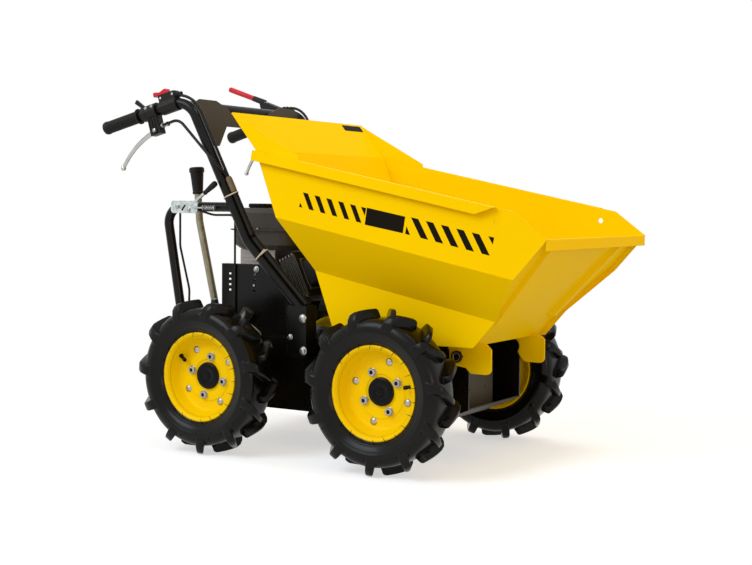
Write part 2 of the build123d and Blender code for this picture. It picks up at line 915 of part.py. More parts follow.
lever_root = on_handle(perch_at).from_local_coords(Vector(0, -lever_pivot_drop, 0))
lever_chord = Vector(*lever_tip) - lever_root
lever_middle = lever_root + lever_chord * 0.5 + Vector(-lever_bow, 0, lever_bow)
drive_root = on_handle(drive_at).from_local_coords(Vector(0, drive_pivot_height, 0))
drive_axis = Plane(
    origin=(drive_root.X, -drive_root.Y, drive_root.Z),
    z_dir=(-cos(radians(drive_rise)), 0, sin(radians(drive_rise))),
)
with BuildPart() as hand_levers:
    with BuildLine() as lever_path:
        ThreePointArc(lever_root, lever_middle, lever_tip)
    with BuildSketch(Plane(origin=lever_path.line @ 0, z_dir=lever_path.line % 0)):
        Circle(lever_radius)
    sweep()
    with Locations(lever_tip):
        Sphere(lever_ball_radius)
    mirror(about=Plane.XZ)
    with BuildSketch(drive_axis):
        Circle(drive_arm_radius)
    extrude(amount=drive_arm_length)
    add(lever_perches.part, mode=Mode.SUBTRACT)
hand_levers.part.label = "hand_levers"
export_step(hand_levers.part, "parts/hand_levers.step")

with BuildPart() as red_controls:
    with BuildSketch(drive_axis.offset(drive_arm_length)):
        Circle(drive_sleeve_radius)
    extrude(amount=drive_sleeve_length)
    with BuildSketch(on_handle(stop_button_at)):
        with Locations((0, switch_height + stop_button_height / 2)):
            RectangleRounded(stop_button_width, stop_button_height, stop_button_round)
    extrude(amount=stop_button_length)
red_controls.part.label = "red_controls"
export_step(red_controls.part, "parts/red_controls.step")

with BuildPart() as switch_housings:
    with BuildSketch(on_handle(switch_at - switch_length / 2)):
        RegularPolygon(clamp_radius, 16)
        with Locations((0, switch_height / 2)):
            Rectangle(perch_width, switch_height)
    extrude(amount=switch_length)
    with BuildSketch(on_handle(throttle_at - throttle_length / 2)):
        RegularPolygon(clamp_radius, 16)
    extrude(amount=throttle_length)
    with BuildSketch(handle_side.offset(-throttle_width / 2)):
        with BuildLine():
            Polyline(
                (throttle_at - throttle_thickness / 2, handle_radius),
                (throttle_at + throttle_thickness / 2, handle_radius + throttle_thickness / 2),
                (throttle_at - throttle_reach + throttle_thickness, throttle_height + throttle_thickness / 2),
                (throttle_at - throttle_reach, throttle_height - throttle_thickness / 2),
                close=True,
            )
        make_face()
    extrude(amount=throttle_width)
    add(handle_tubes.part, mode=Mode.SUBTRACT)
switch_housings.part.label = "switch_housings"
export_step(switch_housings.part, "parts/switch_housings.step")

# Stays, latch and gear lever
with BuildPart() as stay_beam:
    with Locations((stay_foot_x, 0, deck_z)):
        Box(
            stay_beam_width,
            2 * (stay_y + stay_radius),
            stay_beam_height,
            align=(Align.CENTER, Align.CENTER, Align.MIN),
        )
stay_beam.part.label = "stay_beam"
export_step(stay_beam.part, "parts/stay_beam.step")

stay_points = [
    (stay_foot_x, -stay_y, deck_z + stay_seat),
    (stay_top_x, -stay_y, stay_top_z),
    (stay_end_x, -stay_y, stay_top_z),
]
with BuildPart() as rear_stays:
    add(bent_tube(stay_points, stay_bend, stay_radius))
    add(handle_tubes.part, mode=Mode.SUBTRACT)
    add(stay_beam.part, mode=Mode.SUBTRACT)
    mirror(about=Plane.XZ)
rear_stays.part.label = "rear_stays"
export_step(rear_stays.part, "parts/rear_stays.step")

latch_y = -stay_y - stay_radius - seat_gap - latch_plate_thickness / 2
latch_axis = Plane(
    origin=(latch_rod_x, latch_y, latch_rod_z),
    z_dir=(cos(radians(latch_rise)), -tan(radians(latch_splay)), sin(radians(latch_rise))),
)
with BuildPart() as latch_plate:
    with BuildSketch(Plane.XZ.offset(latch_plate_thickness / 2 - latch_y)):
        with Locations((latch_plate_x, latch_plate_z)):
            RectangleRounded(latch_plate_length, latch_plate_height, latch_plate_round)
    extrude(amount=-latch_plate_thickness)
    with BuildSketch(latch_axis):
        Circle(latch_rod_radius)
    extrude(amount=latch_rod_length)
latch_plate.part.label = "latch_plate"
export_step(latch_plate.part, "parts/latch_plate.step")

gear_axis = Plane(
    origin=(gear_foot_x, gear_y, deck_z),
    z_dir=(-sin(radians(gear_lean)), 0, cos(radians(gear_lean))),
)
gear_knee_x = gear_foot_x - (gear_knee_z - deck_z) * tan(radians(gear_lean))
gear_top_axis = Plane(
    origin=(gear_knee_x, gear_y, gear_knee_z),
    z_dir=(-sin(radians(gear_top_lean)), 0, cos(radians(gear_top_lean))),
)
gear_knob_foot = gear_top_axis.offset(gear_neck_length)
beam_top = Plane(origin=(0, 0, deck_z + stay_beam_height))
with BuildPart() as lever_knobs:
    with BuildSketch(latch_axis.offset(latch_rod_length)):
        Circle(latch_grip_neck)
    with BuildSketch(latch_axis.offset(latch_rod_length + latch_grip_length)):
        Circle(latch_grip_radius)
    loft()
    with BuildSketch(gear_knob_foot):
        Circle(gear_knob_neck)
    with BuildSketch(gear_knob_foot.offset(gear_knob_length - gear_knob_collar)):
        Circle(gear_knob_shoulder)
    loft()
    with BuildSketch(gear_knob_foot.offset(gear_knob_length - gear_knob_collar)):
        Circle(gear_knob_radius)
    extrude(amount=gear_knob_collar)
    fillet(lever_knobs.edges().sort_by(Axis.Z)[-1], gear_knob_round)
lever_knobs.part.label = "lever_knobs"
export_step(lever_knobs.part, "parts/lever_knobs.step")

with BuildPart() as gear_lever:
    gear_points = [gear_axis.origin, gear_top_axis.origin, gear_knob_foot.origin]
    add(bent_tube(gear_points, gear_knee_bend, gear_rod_radius))
    with BuildSketch(gear_axis):
        Circle(gear_boot_radius)
    with BuildSketch(gear_axis.offset(stay_beam_height + gear_boot_height)):
        Circle(gear_rod_radius)
    loft()
    split(bisect_by=beam_top, keep=Keep.TOP)
gear_lever.part.label = "gear_lever"
export_step(gear_lever.part, "parts/gear_lever.step")

# Engine, its crank along Y and its cylinder leaning forward
lean = radians(cylinder_lean)
shroud_front = shroud_length - block_length / 2
fin_gap = fin_pitch - fin_thickness
fin_start = (shroud_front + fin_height / 2 * sin(lean)) / cos(lean) + fin_gap
cylinder_axis = Plane(
    origin=(crank_x, 0, crank_z), x_dir=(0, 1, 0), z_dir=(cos(lean), 0, sin(lean))
)
cylinder_length = fin_start + fin_count * fin_pitch
head_end = cylinder_length + head_length
with BuildPart() as engine_block:
    with BuildSketch(Plane.XZ.offset(crankcase_half_width)):
        with Locations((crank_x, crank_z)):
            RegularPolygon(crankcase_radius, 20)
        with Locations((crank_x, deck_z)):
            Rectangle(engine_foot_length, engine_foot_height, align=(Align.CENTER, Align.MIN))
        with Locations((crank_x + shroud_front, crank_z)):
            Rectangle(shroud_length, tank_low_z - crank_z, align=(Align.MAX, Align.MIN))
        with Locations((crank_x, crank_z)):
            Rectangle(block_length, crank_height, align=(Align.CENTER, Align.MAX))
    extrude(amount=-2 * crankcase_half_width)
    with BuildSketch(cylinder_axis):
        Rectangle(cylinder_core, cylinder_core)
    extrude(amount=cylinder_length)
    for step in range(fin_count):
        with BuildSketch(cylinder_axis.offset(fin_start + step * fin_pitch)):
            Rectangle(fin_width, fin_height)
        extrude(amount=fin_thickness)
    with BuildSketch(cylinder_axis.offset(cylinder_length - fin_gap)):
        RectangleRounded(head_width, head_height, head_height / 6)
    extrude(amount=head_length)
    with BuildSketch(Plane.XZ.offset(crankcase_half_width)):
        with Locations((crank_x, crank_z)):
            RegularPolygon(pulley_radius, 24)
    extrude(amount=pulley_width)
engine_block.part.label = "engine_block"
export_step(engine_block.part, "parts/engine_block.step")

starter_face_y = crankcase_half_width + starter_depth
with BuildPart() as engine_starter:
    for start, radius, depth in (
        (crankcase_half_width, starter_radius, starter_depth),
        (starter_face_y, starter_cap_radius, starter_cap_depth),
    ):
        with BuildSketch(Plane.XZ.offset(-start)):
            with Locations((crank_x, crank_z)):
                RegularPolygon(radius, 32)
        extrude(amount=-depth)
    slot_length = starter_cap_radius / 2
    with BuildSketch(Plane.XZ.offset(-starter_face_y - starter_cap_depth)):
        with Locations((crank_x, crank_z)):
            with PolarLocations(starter_cap_radius - slot_length * 0.7, starter_slots):
                Rectangle(slot_length, slot_length / 5)
    extrude(amount=starter_cap_depth / 2, mode=Mode.SUBTRACT)
engine_starter.part.label = "engine_starter"
export_step(engine_starter.part, "parts/engine_starter.step")

with BuildPart() as fuel_tank:
    for z, shrink in (
        (tank_low_z, tank_taper),
        (tank_low_z + tank_taper, 0),
        (tank_top_z - tank_taper, 0),
        (tank_top_z, tank_taper),
    ):
        with BuildSketch(Plane(origin=(tank_x, 0, z))):
            RectangleRounded(tank_length - 2 * shrink, tank_width - 2 * shrink, tank_corner)
    loft(ruled=True)
    with BuildSketch(Plane(origin=(tank_x, 0, tank_seam_z))):
        RectangleRounded(tank_length + 2 * tank_flange, tank_width + 2 * tank_flange, tank_corner)
    extrude(amount=tank_flange_height)
fuel_tank.part.label = "fuel_tank"
export_step(fuel_tank.part, "parts/fuel_tank.step")

with BuildPart() as fuel_cap:
    with BuildSketch(Plane(origin=(cap_x, cap_y, tank_top_z))):
        RegularPolygon(cap_radius, 24)
    extrude(amount=cap_height)
fuel_cap.part.label = "fuel_cap"
export_step(fuel_cap.part, "parts/fuel_cap.step")

fin_side_y = fin_width / 2 + head_gap
with BuildPart() as muffler:
    with Locations((muffler_x, fin_side_y, muffler_z)):
        Box(muffler_length, muffler_depth, muffler_height, align=(Align.CENTER, Align.MIN, Align.MIN))
    fillet(muffler.edges().filter_by(Axis.Y), muffler_height / 5)
    with BuildSketch(Plane.XZ.offset(-head_width / 2)):
        with Locations((port_x, exhaust_z)):
            Circle(pipe_radius)
    extrude(amount=-pipe_length)
muffler.part.label = "muffler"
export_step(muffler.part, "parts/muffler.step")

with BuildPart() as air_filter:
    with Locations((filter_x, fin_side_y, filter_z)):
        Box(filter_length, filter_depth, filter_height, align=(Align.CENTER, Align.MIN, Align.MIN))
    fillet(air_filter.edges().filter_by(Axis.Y), filter_height / 5)
    with BuildSketch(Plane.XZ.offset(-head_width / 2)):
        with Locations((port_x, intake_z)):
            Circle(pipe_radius)
    extrude(amount=-pipe_length)
air_filter.part.label = "air_filter"
export_step(air_filter.part, "parts/air_filter.step")

with BuildPart() as belt_guard:
    with BuildSketch(Plane.XZ.offset(chassis_half_width - guard_sheet)):
        with BuildLine():
            Polyline(
                (guard_rear_x, deck_z),
                (guard_rear_x, guard_top_z),
                (guard_front_x, guard_top_z),
                (guard_front_x + guard_slope_x, guard_top_z - guard_slope_z),
                (guard_front_x + guard_slope_x, deck_z),
                close=True,
            )
        make_face()
        for column in (0, 1):
            with Locations((guard_hole_x + column * guard_hole_column, guard_hole_z)):
                with GridLocations(1, guard_hole_pitch, 1, 4):
                    Rectangle(guard_hole_width, guard_hole_height, mode=Mode.SUBTRACT)
    extrude(amount=guard_sheet)
    guard_line = [
        (guard_rear_x, deck_z),
        (guard_rear_x, guard_top_z),
        (guard_front_x, guard_top_z),
        (guard_front_x + guard_slope_x, guard_top_z - guard_slope_z),
        (guard_front_x + guard_slope_x, deck_z),
    ]
    with BuildSketch(Plane.XZ.offset(chassis_half_width - guard_flange)):
        with BuildLine():
            Polyline(*folded(guard_line, -guard_sheet), close=True)
        make_face()
    extrude(amount=guard_flange)
belt_guard.part.label = "belt_guard"
export_step(belt_guard.part, "parts/belt_guard.step")

# Cables, held along the stalks and the stay leg
stalk_flat = [(x, z) for x, y, z in (grip_end, handle_top, stalk_knee, stalk_foot)]
beside = offset_line(stalk_flat, handle_radius + conduit_radius + cable_gap)
top_bend = handle_bend + handle_radius + conduit_radius
knee_bend = handle_bend - handle_radius - conduit_radius
handle_run = (Vector(*handle_top) - Vector(*grip_end)).length


def part_way(start, end, share):
    """A point some share of the way from one point to another."""
    return tuple(a + (b - a) * share for a, b in zip(start, end))


harness_top = (beside[1][0], handle_top[1], beside[1][1])
harness_knee = (beside[2][0], stalk_knee[1], beside[2][1])
harness_foot = (beside[3][0], stalk_foot[1], beside[3][1])
harness_from = part_way((beside[0][0], grip_end[1], beside[0][1]), harness_top, harness_at / handle_run)
conduit_from = part_way(harness_top, harness_knee, conduit_top)
with BuildPart() as right_harness:
    add(bent_tube([harness_from, harness_top, conduit_from], top_bend, cable_radius))
    add(bent_tube([conduit_from, harness_knee, harness_foot], knee_bend, conduit_radius))
perch_out = on_handle(perch_at + perch_length / 2 - cable_radius).from_local_coords(
    Vector(0, 2 * cable_radius - lever_pivot_drop, 0)
)
perch_over = perch_out + handle_axis * cable_run - Vector(0, cable_swing, 0)
beside_stalk = Vector(*part_way(handle_top, stalk_knee, cable_crossing)) + Vector(
    3 * cable_radius, -handle_radius - 3 * cable_radius, 0
)
with BuildPart() as control_cables:
    add(right_harness.part)
    add(bent_tube([perch_out, perch_over, beside_stalk, conduit_from], cable_bend, cable_radius))
    mirror(about=Plane.XZ)
    leg_front_x = stay_foot_x + stay_beam_width / 2 - thin_cable_radius - cable_gap
    plate_low_z = latch_plate_z - latch_plate_height / 2
    leg_points = [
        (latch_plate_x - latch_plate_length / 6, latch_y, plate_low_z),
        (latch_plate_x - latch_plate_length / 6, latch_y, plate_low_z - 2 * stay_bend),
        (leg_front_x + thin_cable_radius, -stay_y, deck_z + 4 * stay_beam_height),
        (leg_front_x, -stay_y, deck_z + stay_beam_height),
    ]
    add(bent_tube(leg_points, 2 * cable_bend, thin_cable_radius))
    guard_cable_y = -chassis_half_width - thin_cable_radius - cable_gap
    guard_cable_x = (guard_rear_x + guard_front_x) / 2 - cable_bend
    under_bar_z = stay_top_z - stay_radius - 3 * thin_cable_radius
    plate_front_x = latch_plate_x + latch_plate_length / 2
    guard_points = [
        (plate_front_x - thin_cable_radius, latch_y, plate_low_z + latch_plate_round),
        (plate_front_x + cable_bend, -stay_y, under_bar_z),
        (guard_cable_x, guard_cable_y, under_bar_z),
        (guard_cable_x, guard_cable_y, deck_z - cable_bend),
    ]
    add(bent_tube(guard_points, cable_bend / 2, thin_cable_radius))
    add(handle_sockets.part, mode=Mode.SUBTRACT)
    add(switch_housings.part, mode=Mode.SUBTRACT)
    add(lever_perches.part, mode=Mode.SUBTRACT)
    add(latch_plate.part, mode=Mode.SUBTRACT)
    add(stay_beam.part, mode=Mode.SUBTRACT)
control_cables.part.label = "control_cables"
export_step(control_cables.part, "parts/control_cables.step")
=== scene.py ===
# %% [markdown]
# # A walk-behind site dumper
# A small four-wheel dumper is steel sheet, rubber and a petrol engine: a
# yellow skip in front, a black chassis under it and a tall handlebar behind.
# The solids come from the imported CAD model, which stays where it is. This
# lesson adds what CAD leaves plain: finishes, moulded tyres, fasteners,
# springs and stripes. The stage is set in metres, and every piece of the
# machine in millimetres.

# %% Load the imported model
from math import cos, pi, radians, sin, sqrt, tan, tau

import bmesh
import bpy
from mathutils import Matrix, Vector


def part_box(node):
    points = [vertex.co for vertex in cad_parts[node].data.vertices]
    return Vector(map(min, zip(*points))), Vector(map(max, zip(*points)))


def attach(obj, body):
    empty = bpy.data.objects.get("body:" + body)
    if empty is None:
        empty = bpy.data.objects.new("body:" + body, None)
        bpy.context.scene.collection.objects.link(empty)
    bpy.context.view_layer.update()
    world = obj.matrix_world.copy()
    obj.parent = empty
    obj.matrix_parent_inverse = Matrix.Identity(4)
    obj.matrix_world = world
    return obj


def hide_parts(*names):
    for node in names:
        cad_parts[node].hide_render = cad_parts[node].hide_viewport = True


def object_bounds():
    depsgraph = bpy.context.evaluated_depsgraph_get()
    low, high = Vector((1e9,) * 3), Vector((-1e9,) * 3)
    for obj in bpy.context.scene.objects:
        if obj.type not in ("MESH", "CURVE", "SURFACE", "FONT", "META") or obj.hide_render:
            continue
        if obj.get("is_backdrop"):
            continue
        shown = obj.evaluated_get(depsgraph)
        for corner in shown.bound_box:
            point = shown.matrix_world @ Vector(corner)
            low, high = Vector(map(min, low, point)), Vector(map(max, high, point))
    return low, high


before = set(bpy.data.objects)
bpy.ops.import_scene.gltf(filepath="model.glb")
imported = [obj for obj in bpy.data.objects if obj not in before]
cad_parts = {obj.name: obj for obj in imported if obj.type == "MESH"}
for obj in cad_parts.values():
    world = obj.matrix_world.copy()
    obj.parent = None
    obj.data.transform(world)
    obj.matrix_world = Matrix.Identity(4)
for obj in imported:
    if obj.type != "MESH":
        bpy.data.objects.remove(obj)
scene = bpy.context.scene
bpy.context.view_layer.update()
MM = 0.001

# %% [markdown]
# ## Camera
# The picture was taken from the machine's right, a little in front and low.
# A camera could be placed by eye, but the CAD was fitted to the picture, so
# the fit's own angles, distance and focal length are used.

# %% Camera
fit_azimuth, fit_elevation, fit_roll = 31.33, 3.33, 0.54
fit_target = Vector((0.0396, 0, 0.4511))
fit_distance = 3.6657
focal_px, picture_px, sensor_mm = 1343.3, 752, 36


def axes(x, y, z):
    """A turn whose own axes point in three directions."""
    return Matrix((x, y, z)).transposed().to_4x4()


azimuth, elevation, roll = (radians(a) for a in (fit_azimuth, fit_elevation, fit_roll))
level = Vector((cos(azimuth), sin(azimuth), 0))
aside = Vector((sin(azimuth), -cos(azimuth), 0))
back = aside * cos(elevation) + Vector((0, 0, sin(elevation)))
upright = back.cross(level)
right = cos(roll) * level + sin(roll) * upright
up = -sin(roll) * level + cos(roll) * upright
camera = bpy.data.objects.new("camera", bpy.data.cameras.new("camera"))
camera.data.sensor_width = sensor_mm
camera.data.lens = focal_px * sensor_mm / picture_px
camera.matrix_world = Matrix.Translation(fit_target + back * fit_distance) @ axes(right, up, back)
scene.collection.objects.link(camera)
scene.camera = camera
print("camera at", [round(v, 3) for v in camera.location])

# %% [markdown]
# ## Finishes: three small tools
# Colours are hex values, as on a paint chart, and one function turns them to
# linear light. Another turns a pattern's real size to a texture scale, and a
# third makes every shader node, with its settings and links.

# %% Colour, scale and node tools
scene.view_settings.view_transform = "Standard"


def linear(code):
    """A hex colour as linear red, green, blue and alpha."""
    parts = [int(code[i : i + 2], 16) / 255 for i in (1, 3, 5)]
    return (*(p / 12.92 if p <= 0.04045 else ((p + 0.055) / 1.055) ** 2.4 for p in parts), 1)


def every(millimetres):
    """The texture scale whose pattern repeats about every so many millimetres."""
    return 1 / (millimetres * MM)


def add(owner, kind, inputs=(), **settings):
    """Adds one node to a material or world, with its links or values and its settings."""
    made = owner.node_tree.nodes.new(kind)
    for name, value in settings.items():
        setattr(made, name, value)
    for name, value in dict(inputs).items():
        if isinstance(value, bpy.types.Node):
            value = value.outputs[0]
        if isinstance(value, bpy.types.NodeSocket):
            owner.node_tree.links.new(value, made.inputs[name])
        else:
            made.inputs[name].default_value = value
    return made


print("white in linear light", linear("#FFFFFF"))

# %% [markdown]
# ## Studio light and floor
# The machine stands in a white studio. White could be had by flooding it with
# light, but that would wash out the paint. Instead the world and the floor
# show white only to the camera and to mirror-like rays, and light the machine
# at a plain level. Near the wheels the floor is real paper that takes their
# shadow, and it fades into the white further out, so no horizon shows. Three
# soft lamps give the shading: a large, cool one up and to the left of the
# camera, a weak, warm one in front, and a small one high in front that draws
# highlights on the tyres. The fill light is warm, so shade turns amber, and
# the paper is faintly blue to even that out.

# %% World
fill_tint, fill_level = "#FFD8A6", 0.8


def shown(owner):
    """A node that gives 1 to rays that show a surface and 0 to rays that carry its light."""
    ray = add(owner, "ShaderNodeLightPath")
    straight = add(owner, "ShaderNodeMath",
        {0: ray.outputs["Is Camera Ray"], 1: ray.outputs["Is Transmission Ray"]}, operation="MAXIMUM")
    mirrored = add(owner, "ShaderNodeMath",
        {0: straight, 1: ray.outputs["Is Glossy Ray"]}, operation="MAXIMUM")
    return mirrored


world = bpy.data.worlds.new("white_studio")
scene.world = world
world.use_nodes = True
world.node_tree.nodes.clear()
soft = add(world, "ShaderNodeBackground", {"Color": linear(fill_tint), "Strength": fill_level})
white = add(world, "ShaderNodeBackground", {"Color": linear("#FFFFFF"), "Strength": 1.0})
sky = add(world, "ShaderNodeMixShader", {0: shown(world), 1: soft, 2: white})
add(world, "ShaderNodeOutputWorld", {"Surface": sky})
print("fill light", fill_tint, fill_level)

# %% Lamps
lamp_target = Vector((0, 0, 0.45))
for name, spot, size, watts, tint in (
    ("main_softbox", Vector((-1.6, -3.6, 3.4)), 2.6, 104, "#EEFAFF"),
    ("front_softbox", Vector((3.3, -2.2, 0.9)), 1.1, 16, "#FFD59A"),
    ("top_softbox", Vector((1.3, 0.2, 3.4)), 0.8, 25, "#FFFFFF"),
):
    lamp = bpy.data.objects.new(name, bpy.data.lights.new(name, "AREA"))
    lamp.data.size = size
    lamp.data.energy = watts
    lamp.data.color = linear(tint)[:3]
    lamp.location = spot
    lamp.rotation_euler = (lamp_target - spot).to_track_quat("-Z", "Y").to_euler()
    scene.collection.objects.link(lamp)
    print(name, watts, "W")

# %% Floor
paper_tint, paper_glow = "#C8D8F1", 0.56
fade_start, fade_end = 0.75, 1.5
floor_half = 14
sweep = bpy.data.materials.new("white_paper_sweep")
sweep.use_nodes = True
sweep.node_tree.nodes.clear()
seen = shown(sweep)
near_glow = add(sweep, "ShaderNodeMath", {0: seen, 1: paper_glow}, operation="MULTIPLY")
paper = add(sweep, "ShaderNodeBsdfDiffuse", {"Color": linear(paper_tint)})
lift = add(sweep, "ShaderNodeEmission", {"Strength": near_glow})
near = add(sweep, "ShaderNodeAddShader", {0: paper, 1: lift})
fill = add(sweep, "ShaderNodeEmission", {"Color": linear(fill_tint), "Strength": fill_level})
white = add(sweep, "ShaderNodeEmission", {"Strength": 1.0})
far = add(sweep, "ShaderNodeMixShader", {0: seen, 1: fill, 2: white})
place = add(sweep, "ShaderNodeTexCoord")
away = add(sweep, "ShaderNodeVectorMath", {0: place.outputs["Object"]}, operation="LENGTH")
fade = add(sweep, "ShaderNodeMapRange",
    {"Value": away.outputs["Value"], "From Min": fade_start, "From Max": fade_end},
    interpolation_type="SMOOTHSTEP")
both = add(sweep, "ShaderNodeMixShader", {0: fade, 1: near, 2: far})
add(sweep, "ShaderNodeOutputMaterial", {"Surface": both})
sheet = bmesh.new()
bmesh.ops.create_grid(sheet, x_segments=2, y_segments=2, size=floor_half)
floor = bpy.data.objects.new("floor", bpy.data.meshes.new("floor"))
sheet.to_mesh(floor.data)
sheet.free()
floor.data.materials.append(sweep)
scene.collection.objects.link(floor)
floor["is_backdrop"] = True
print("floor", floor.dimensions[:2])

# %% [markdown]
# ## A common start for the finishes
# Paint, rubber and castings differ, but each is a base colour and a gloss that
# drift a little, over a fine relief. One function lays that ground, with sizes
# in millimetres. A bevel node rounds cut edges by about a millimetre, as paint
# and moulds do, so the edges catch the light.

# %% The common ground
noise_low, noise_high = 0.3, 0.7


def finish(name, tones, patch, gloss, relief, depth, edge=1.0, mirror=0.5, **surface):
    """A material with two tones in patches, a gloss range and a relief; sizes in millimetres."""
    made = bpy.data.materials.new(name)
    made.use_nodes = True
    made.node_tree.nodes.clear()
    place = add(made, "ShaderNodeTexCoord")
    patches = add(made, "ShaderNodeTexNoise",
        {"Vector": place.outputs["Object"], "Scale": every(patch), "Detail": 4.0})
    tone = add(made, "ShaderNodeMix",
        {0: patches.outputs["Fac"], 6: linear(tones[0]), 7: linear(tones[1])}, data_type="RGBA")
    rough = add(made, "ShaderNodeMapRange",
        {"Value": patches.outputs["Fac"], "From Min": noise_low, "From Max": noise_high,
            "To Min": gloss[0], "To Max": gloss[1]})
    grain = add(made, "ShaderNodeTexNoise",
        {"Vector": place.outputs["Object"], "Scale": every(relief), "Detail": 2.0})
    round_edge = add(made, "ShaderNodeBevel", {"Radius": edge * MM}, samples=4)
    bump = add(made, "ShaderNodeBump",
        {"Height": grain.outputs["Fac"], "Distance": depth * MM, "Strength": 1,
            "Normal": round_edge})
    shader = add(made, "ShaderNodeBsdfPrincipled",
        {"Base Color": tone.outputs[2], "Roughness": rough,
            "Normal": bump, "Specular IOR Level": mirror, **surface}, name="surface")
    add(made, "ShaderNodeOutputMaterial", {"Surface": shader})
    return made


print("gloss drifts with noise from", noise_low, "to", noise_high)

# %% [markdown]
# ## Yellow powder coat
# The skip and the rims are pressed steel with a baked powder coat. Powder
# melts to a smooth, slightly rippled skin, which gives a soft gloss with the
# orange peel that blurs reflections. The coat is kept even, because a new
# machine shows no wear.

# %% Yellow powder coat
# tones, patch, gloss range, relief, its depth, edge, mirror
yellow_coat = finish("powder_coated_steel_yellow", ("#F0D200", "#F5DB00"), 260, (0.40, 0.48), 3.5, 0.03,
    1.4, 0.02, IOR=1.5)
rim_coat = finish("powder_coated_rim_yellow", ("#F0D000", "#F5D900"), 120, (0.32, 0.40), 3, 0.03, 1.2,
    0.08, IOR=1.5)
print(yellow_coat.name, rim_coat.name)

# %% [markdown]
# ## Black enamel, plastics and rubbers
# Tubes and plates are black stoving enamel, glossier than the plastics. The
# tank and switch boxes are moulded in dark plastic with a spark grain. The
# dash is grey ABS. Tyres come shiny out of the mould, because the mould is
# polished where it isn't engraved, and grips are duller and softer.

# %% Black enamel, plastics and rubbers
# tones, patch, gloss range, relief, its depth, edge, mirror
black_enamel = finish("stoved_enamel_black", ("#070707", "#0C0C0D"), 90, (0.22, 0.30), 4, 0.03, 1.2,
    0.2, IOR=1.5)
chassis_enamel = finish("stoved_enamel_olive_grey", ("#3B3A33", "#47453D"), 110, (0.44, 0.56), 3, 0.04,
    1.5, 0.15, IOR=1.5)
tank_skin = finish("moulded_polypropylene_black", ("#434549", "#4D4F53"), 60, (0.38, 0.46), 1.6, 0.05,
    1.5, 0.2, IOR=1.49)
switch_skin = finish("grained_nylon_black", ("#0D0D0E", "#161617"), 30, (0.40, 0.50), 1.4, 0.08, 0.8,
    0.2, IOR=1.53)
dash_skin = finish("grained_abs_grey", ("#3E3C36", "#48463F"), 50, (0.44, 0.54), 1.5, 0.08, 1.2, 0.2,
    IOR=1.54)
red_skin = finish("moulded_pvc_red", ("#B5142B", "#C71C36"), 25, (0.30, 0.38), 1.2, 0.04, 0.8, 0.25,
    IOR=1.54)
tyre_skin = finish("moulded_tyre_rubber", ("#070707", "#0D0D0D"), 45, (0.18, 0.28), 1.8, 0.05, 1.5,
    0.16, IOR=1.52)
grip_skin = finish("moulded_grip_rubber", ("#0E0E0F", "#171718"), 18, (0.48, 0.60), 0.9, 0.08, 0.8, 0.2,
    IOR=1.52)
cable_skin = finish("extruded_cable_rubber", ("#0B0B0C", "#141414"), 20, (0.34, 0.44), 1, 0.04, 0.4,
    0.2, IOR=1.52)
sleeve_skin = finish("woven_glass_sleeve_tan", ("#5E584C", "#7A7365"), 8, (0.55, 0.68), 1.4, 0.12, 0.4,
    0.2, IOR=1.5)
tie_skin = finish("moulded_nylon_natural", ("#B9B8B1", "#CFCEC7"), 12, (0.38, 0.46), 1.2, 0.03, 0.4,
    0.3, IOR=1.53)
vinyl = finish("cut_vinyl_film_black", ("#100E08", "#14120B"), 40, (0.42, 0.50), 1.5, 0.01, 0.1, 0.05,
    IOR=1.54)
cap_skin = finish("moulded_cap_black", ("#050505", "#080808"), 30, (0.12, 0.20), 1.5, 0.02, 0.6, 0.12,
    IOR=1.5)
# a flat near-black laid where bores, sockets and slots are: painted shade
hole_shade = finish("unlit_bore", ("#050505", "#090909"), 10, (0.7, 0.8), 1, 0.02, 0.2, 0.1)
print("materials so far", len(bpy.data.materials))

# %% [markdown]
# ## Metals
# Fasteners are zinc plated, with a dull satin, and the hand levers are
# polished alloy. The latch plate is hot-dip galvanised, which freezes into
# flat crystals. The gear rod has an olive passivation. The engine is sand-cast
# aluminium, pale and rough, with its cylinder sprayed black so it sheds heat.
# Metals keep the shader's own index of refraction.

# %% Metals
# tones, patch, gloss range, relief, its depth, edge, mirror
zinc = finish("zinc_plated_steel", ("#969694", "#B4B3AF"), 14, (0.26, 0.40), 1.2, 0.02, 0.5,
    Metallic=1.0)
polished = finish("polished_lever_alloy", ("#A8A9A6", "#C9CAC6"), 25, (0.18, 0.28), 1.5, 0.02, 0.6,
    Metallic=1.0)
olive_rod = finish("passivated_steel_rod", ("#7D7863", "#A29B84"), 16, (0.36, 0.50), 1.4, 0.04, 0.8,
    Metallic=1.0)
cast_alloy = finish("sand_cast_aluminium", ("#9A9390", "#B9B1AD"), 22, (0.48, 0.62), 1.6, 0.12, 1.2,
    Metallic=1.0)
dark_iron = finish("black_oxide_steel", ("#1B1B1C", "#2B2B2C"), 12, (0.34, 0.46), 1.2, 0.04, 0.6,
    Metallic=1.0)
galvanised = finish("hot_dip_galvanised_steel", ("#A9B3B1", "#C6CFCC"), 20, (0.34, 0.48), 2, 0.03,
    0.8, Metallic=1.0)
crystal_size = 9
place = add(galvanised, "ShaderNodeTexCoord")
crystals = add(galvanised, "ShaderNodeTexVoronoi",
    {"Vector": place.outputs["Object"], "Scale": every(crystal_size)})
spangle = add(galvanised, "ShaderNodeMix",
    {0: crystals.outputs["Distance"], 6: linear("#9FAAA9"), 7: linear("#D2DAD8")}, data_type="RGBA")
galvanised.node_tree.links.new(
    spangle.outputs[2], galvanised.node_tree.nodes["surface"].inputs["Base Color"]
)
sprayed_alloy = finish("heat_black_cast_alloy", ("#1F1F20", "#343434"), 14, (0.40, 0.55), 1.6, 0.10,
    1, Metallic=0.6)
# bright alloy for rods along the fin edges, which paint the glint there
fin_edge_glint_alloy = finish("painted_glint_fin_edge", ("#6C6A66", "#8F8C86"), 9, (0.34, 0.48), 1.4, 0.04, 0.3,
    Metallic=1.0)
print("materials", len(bpy.data.materials))

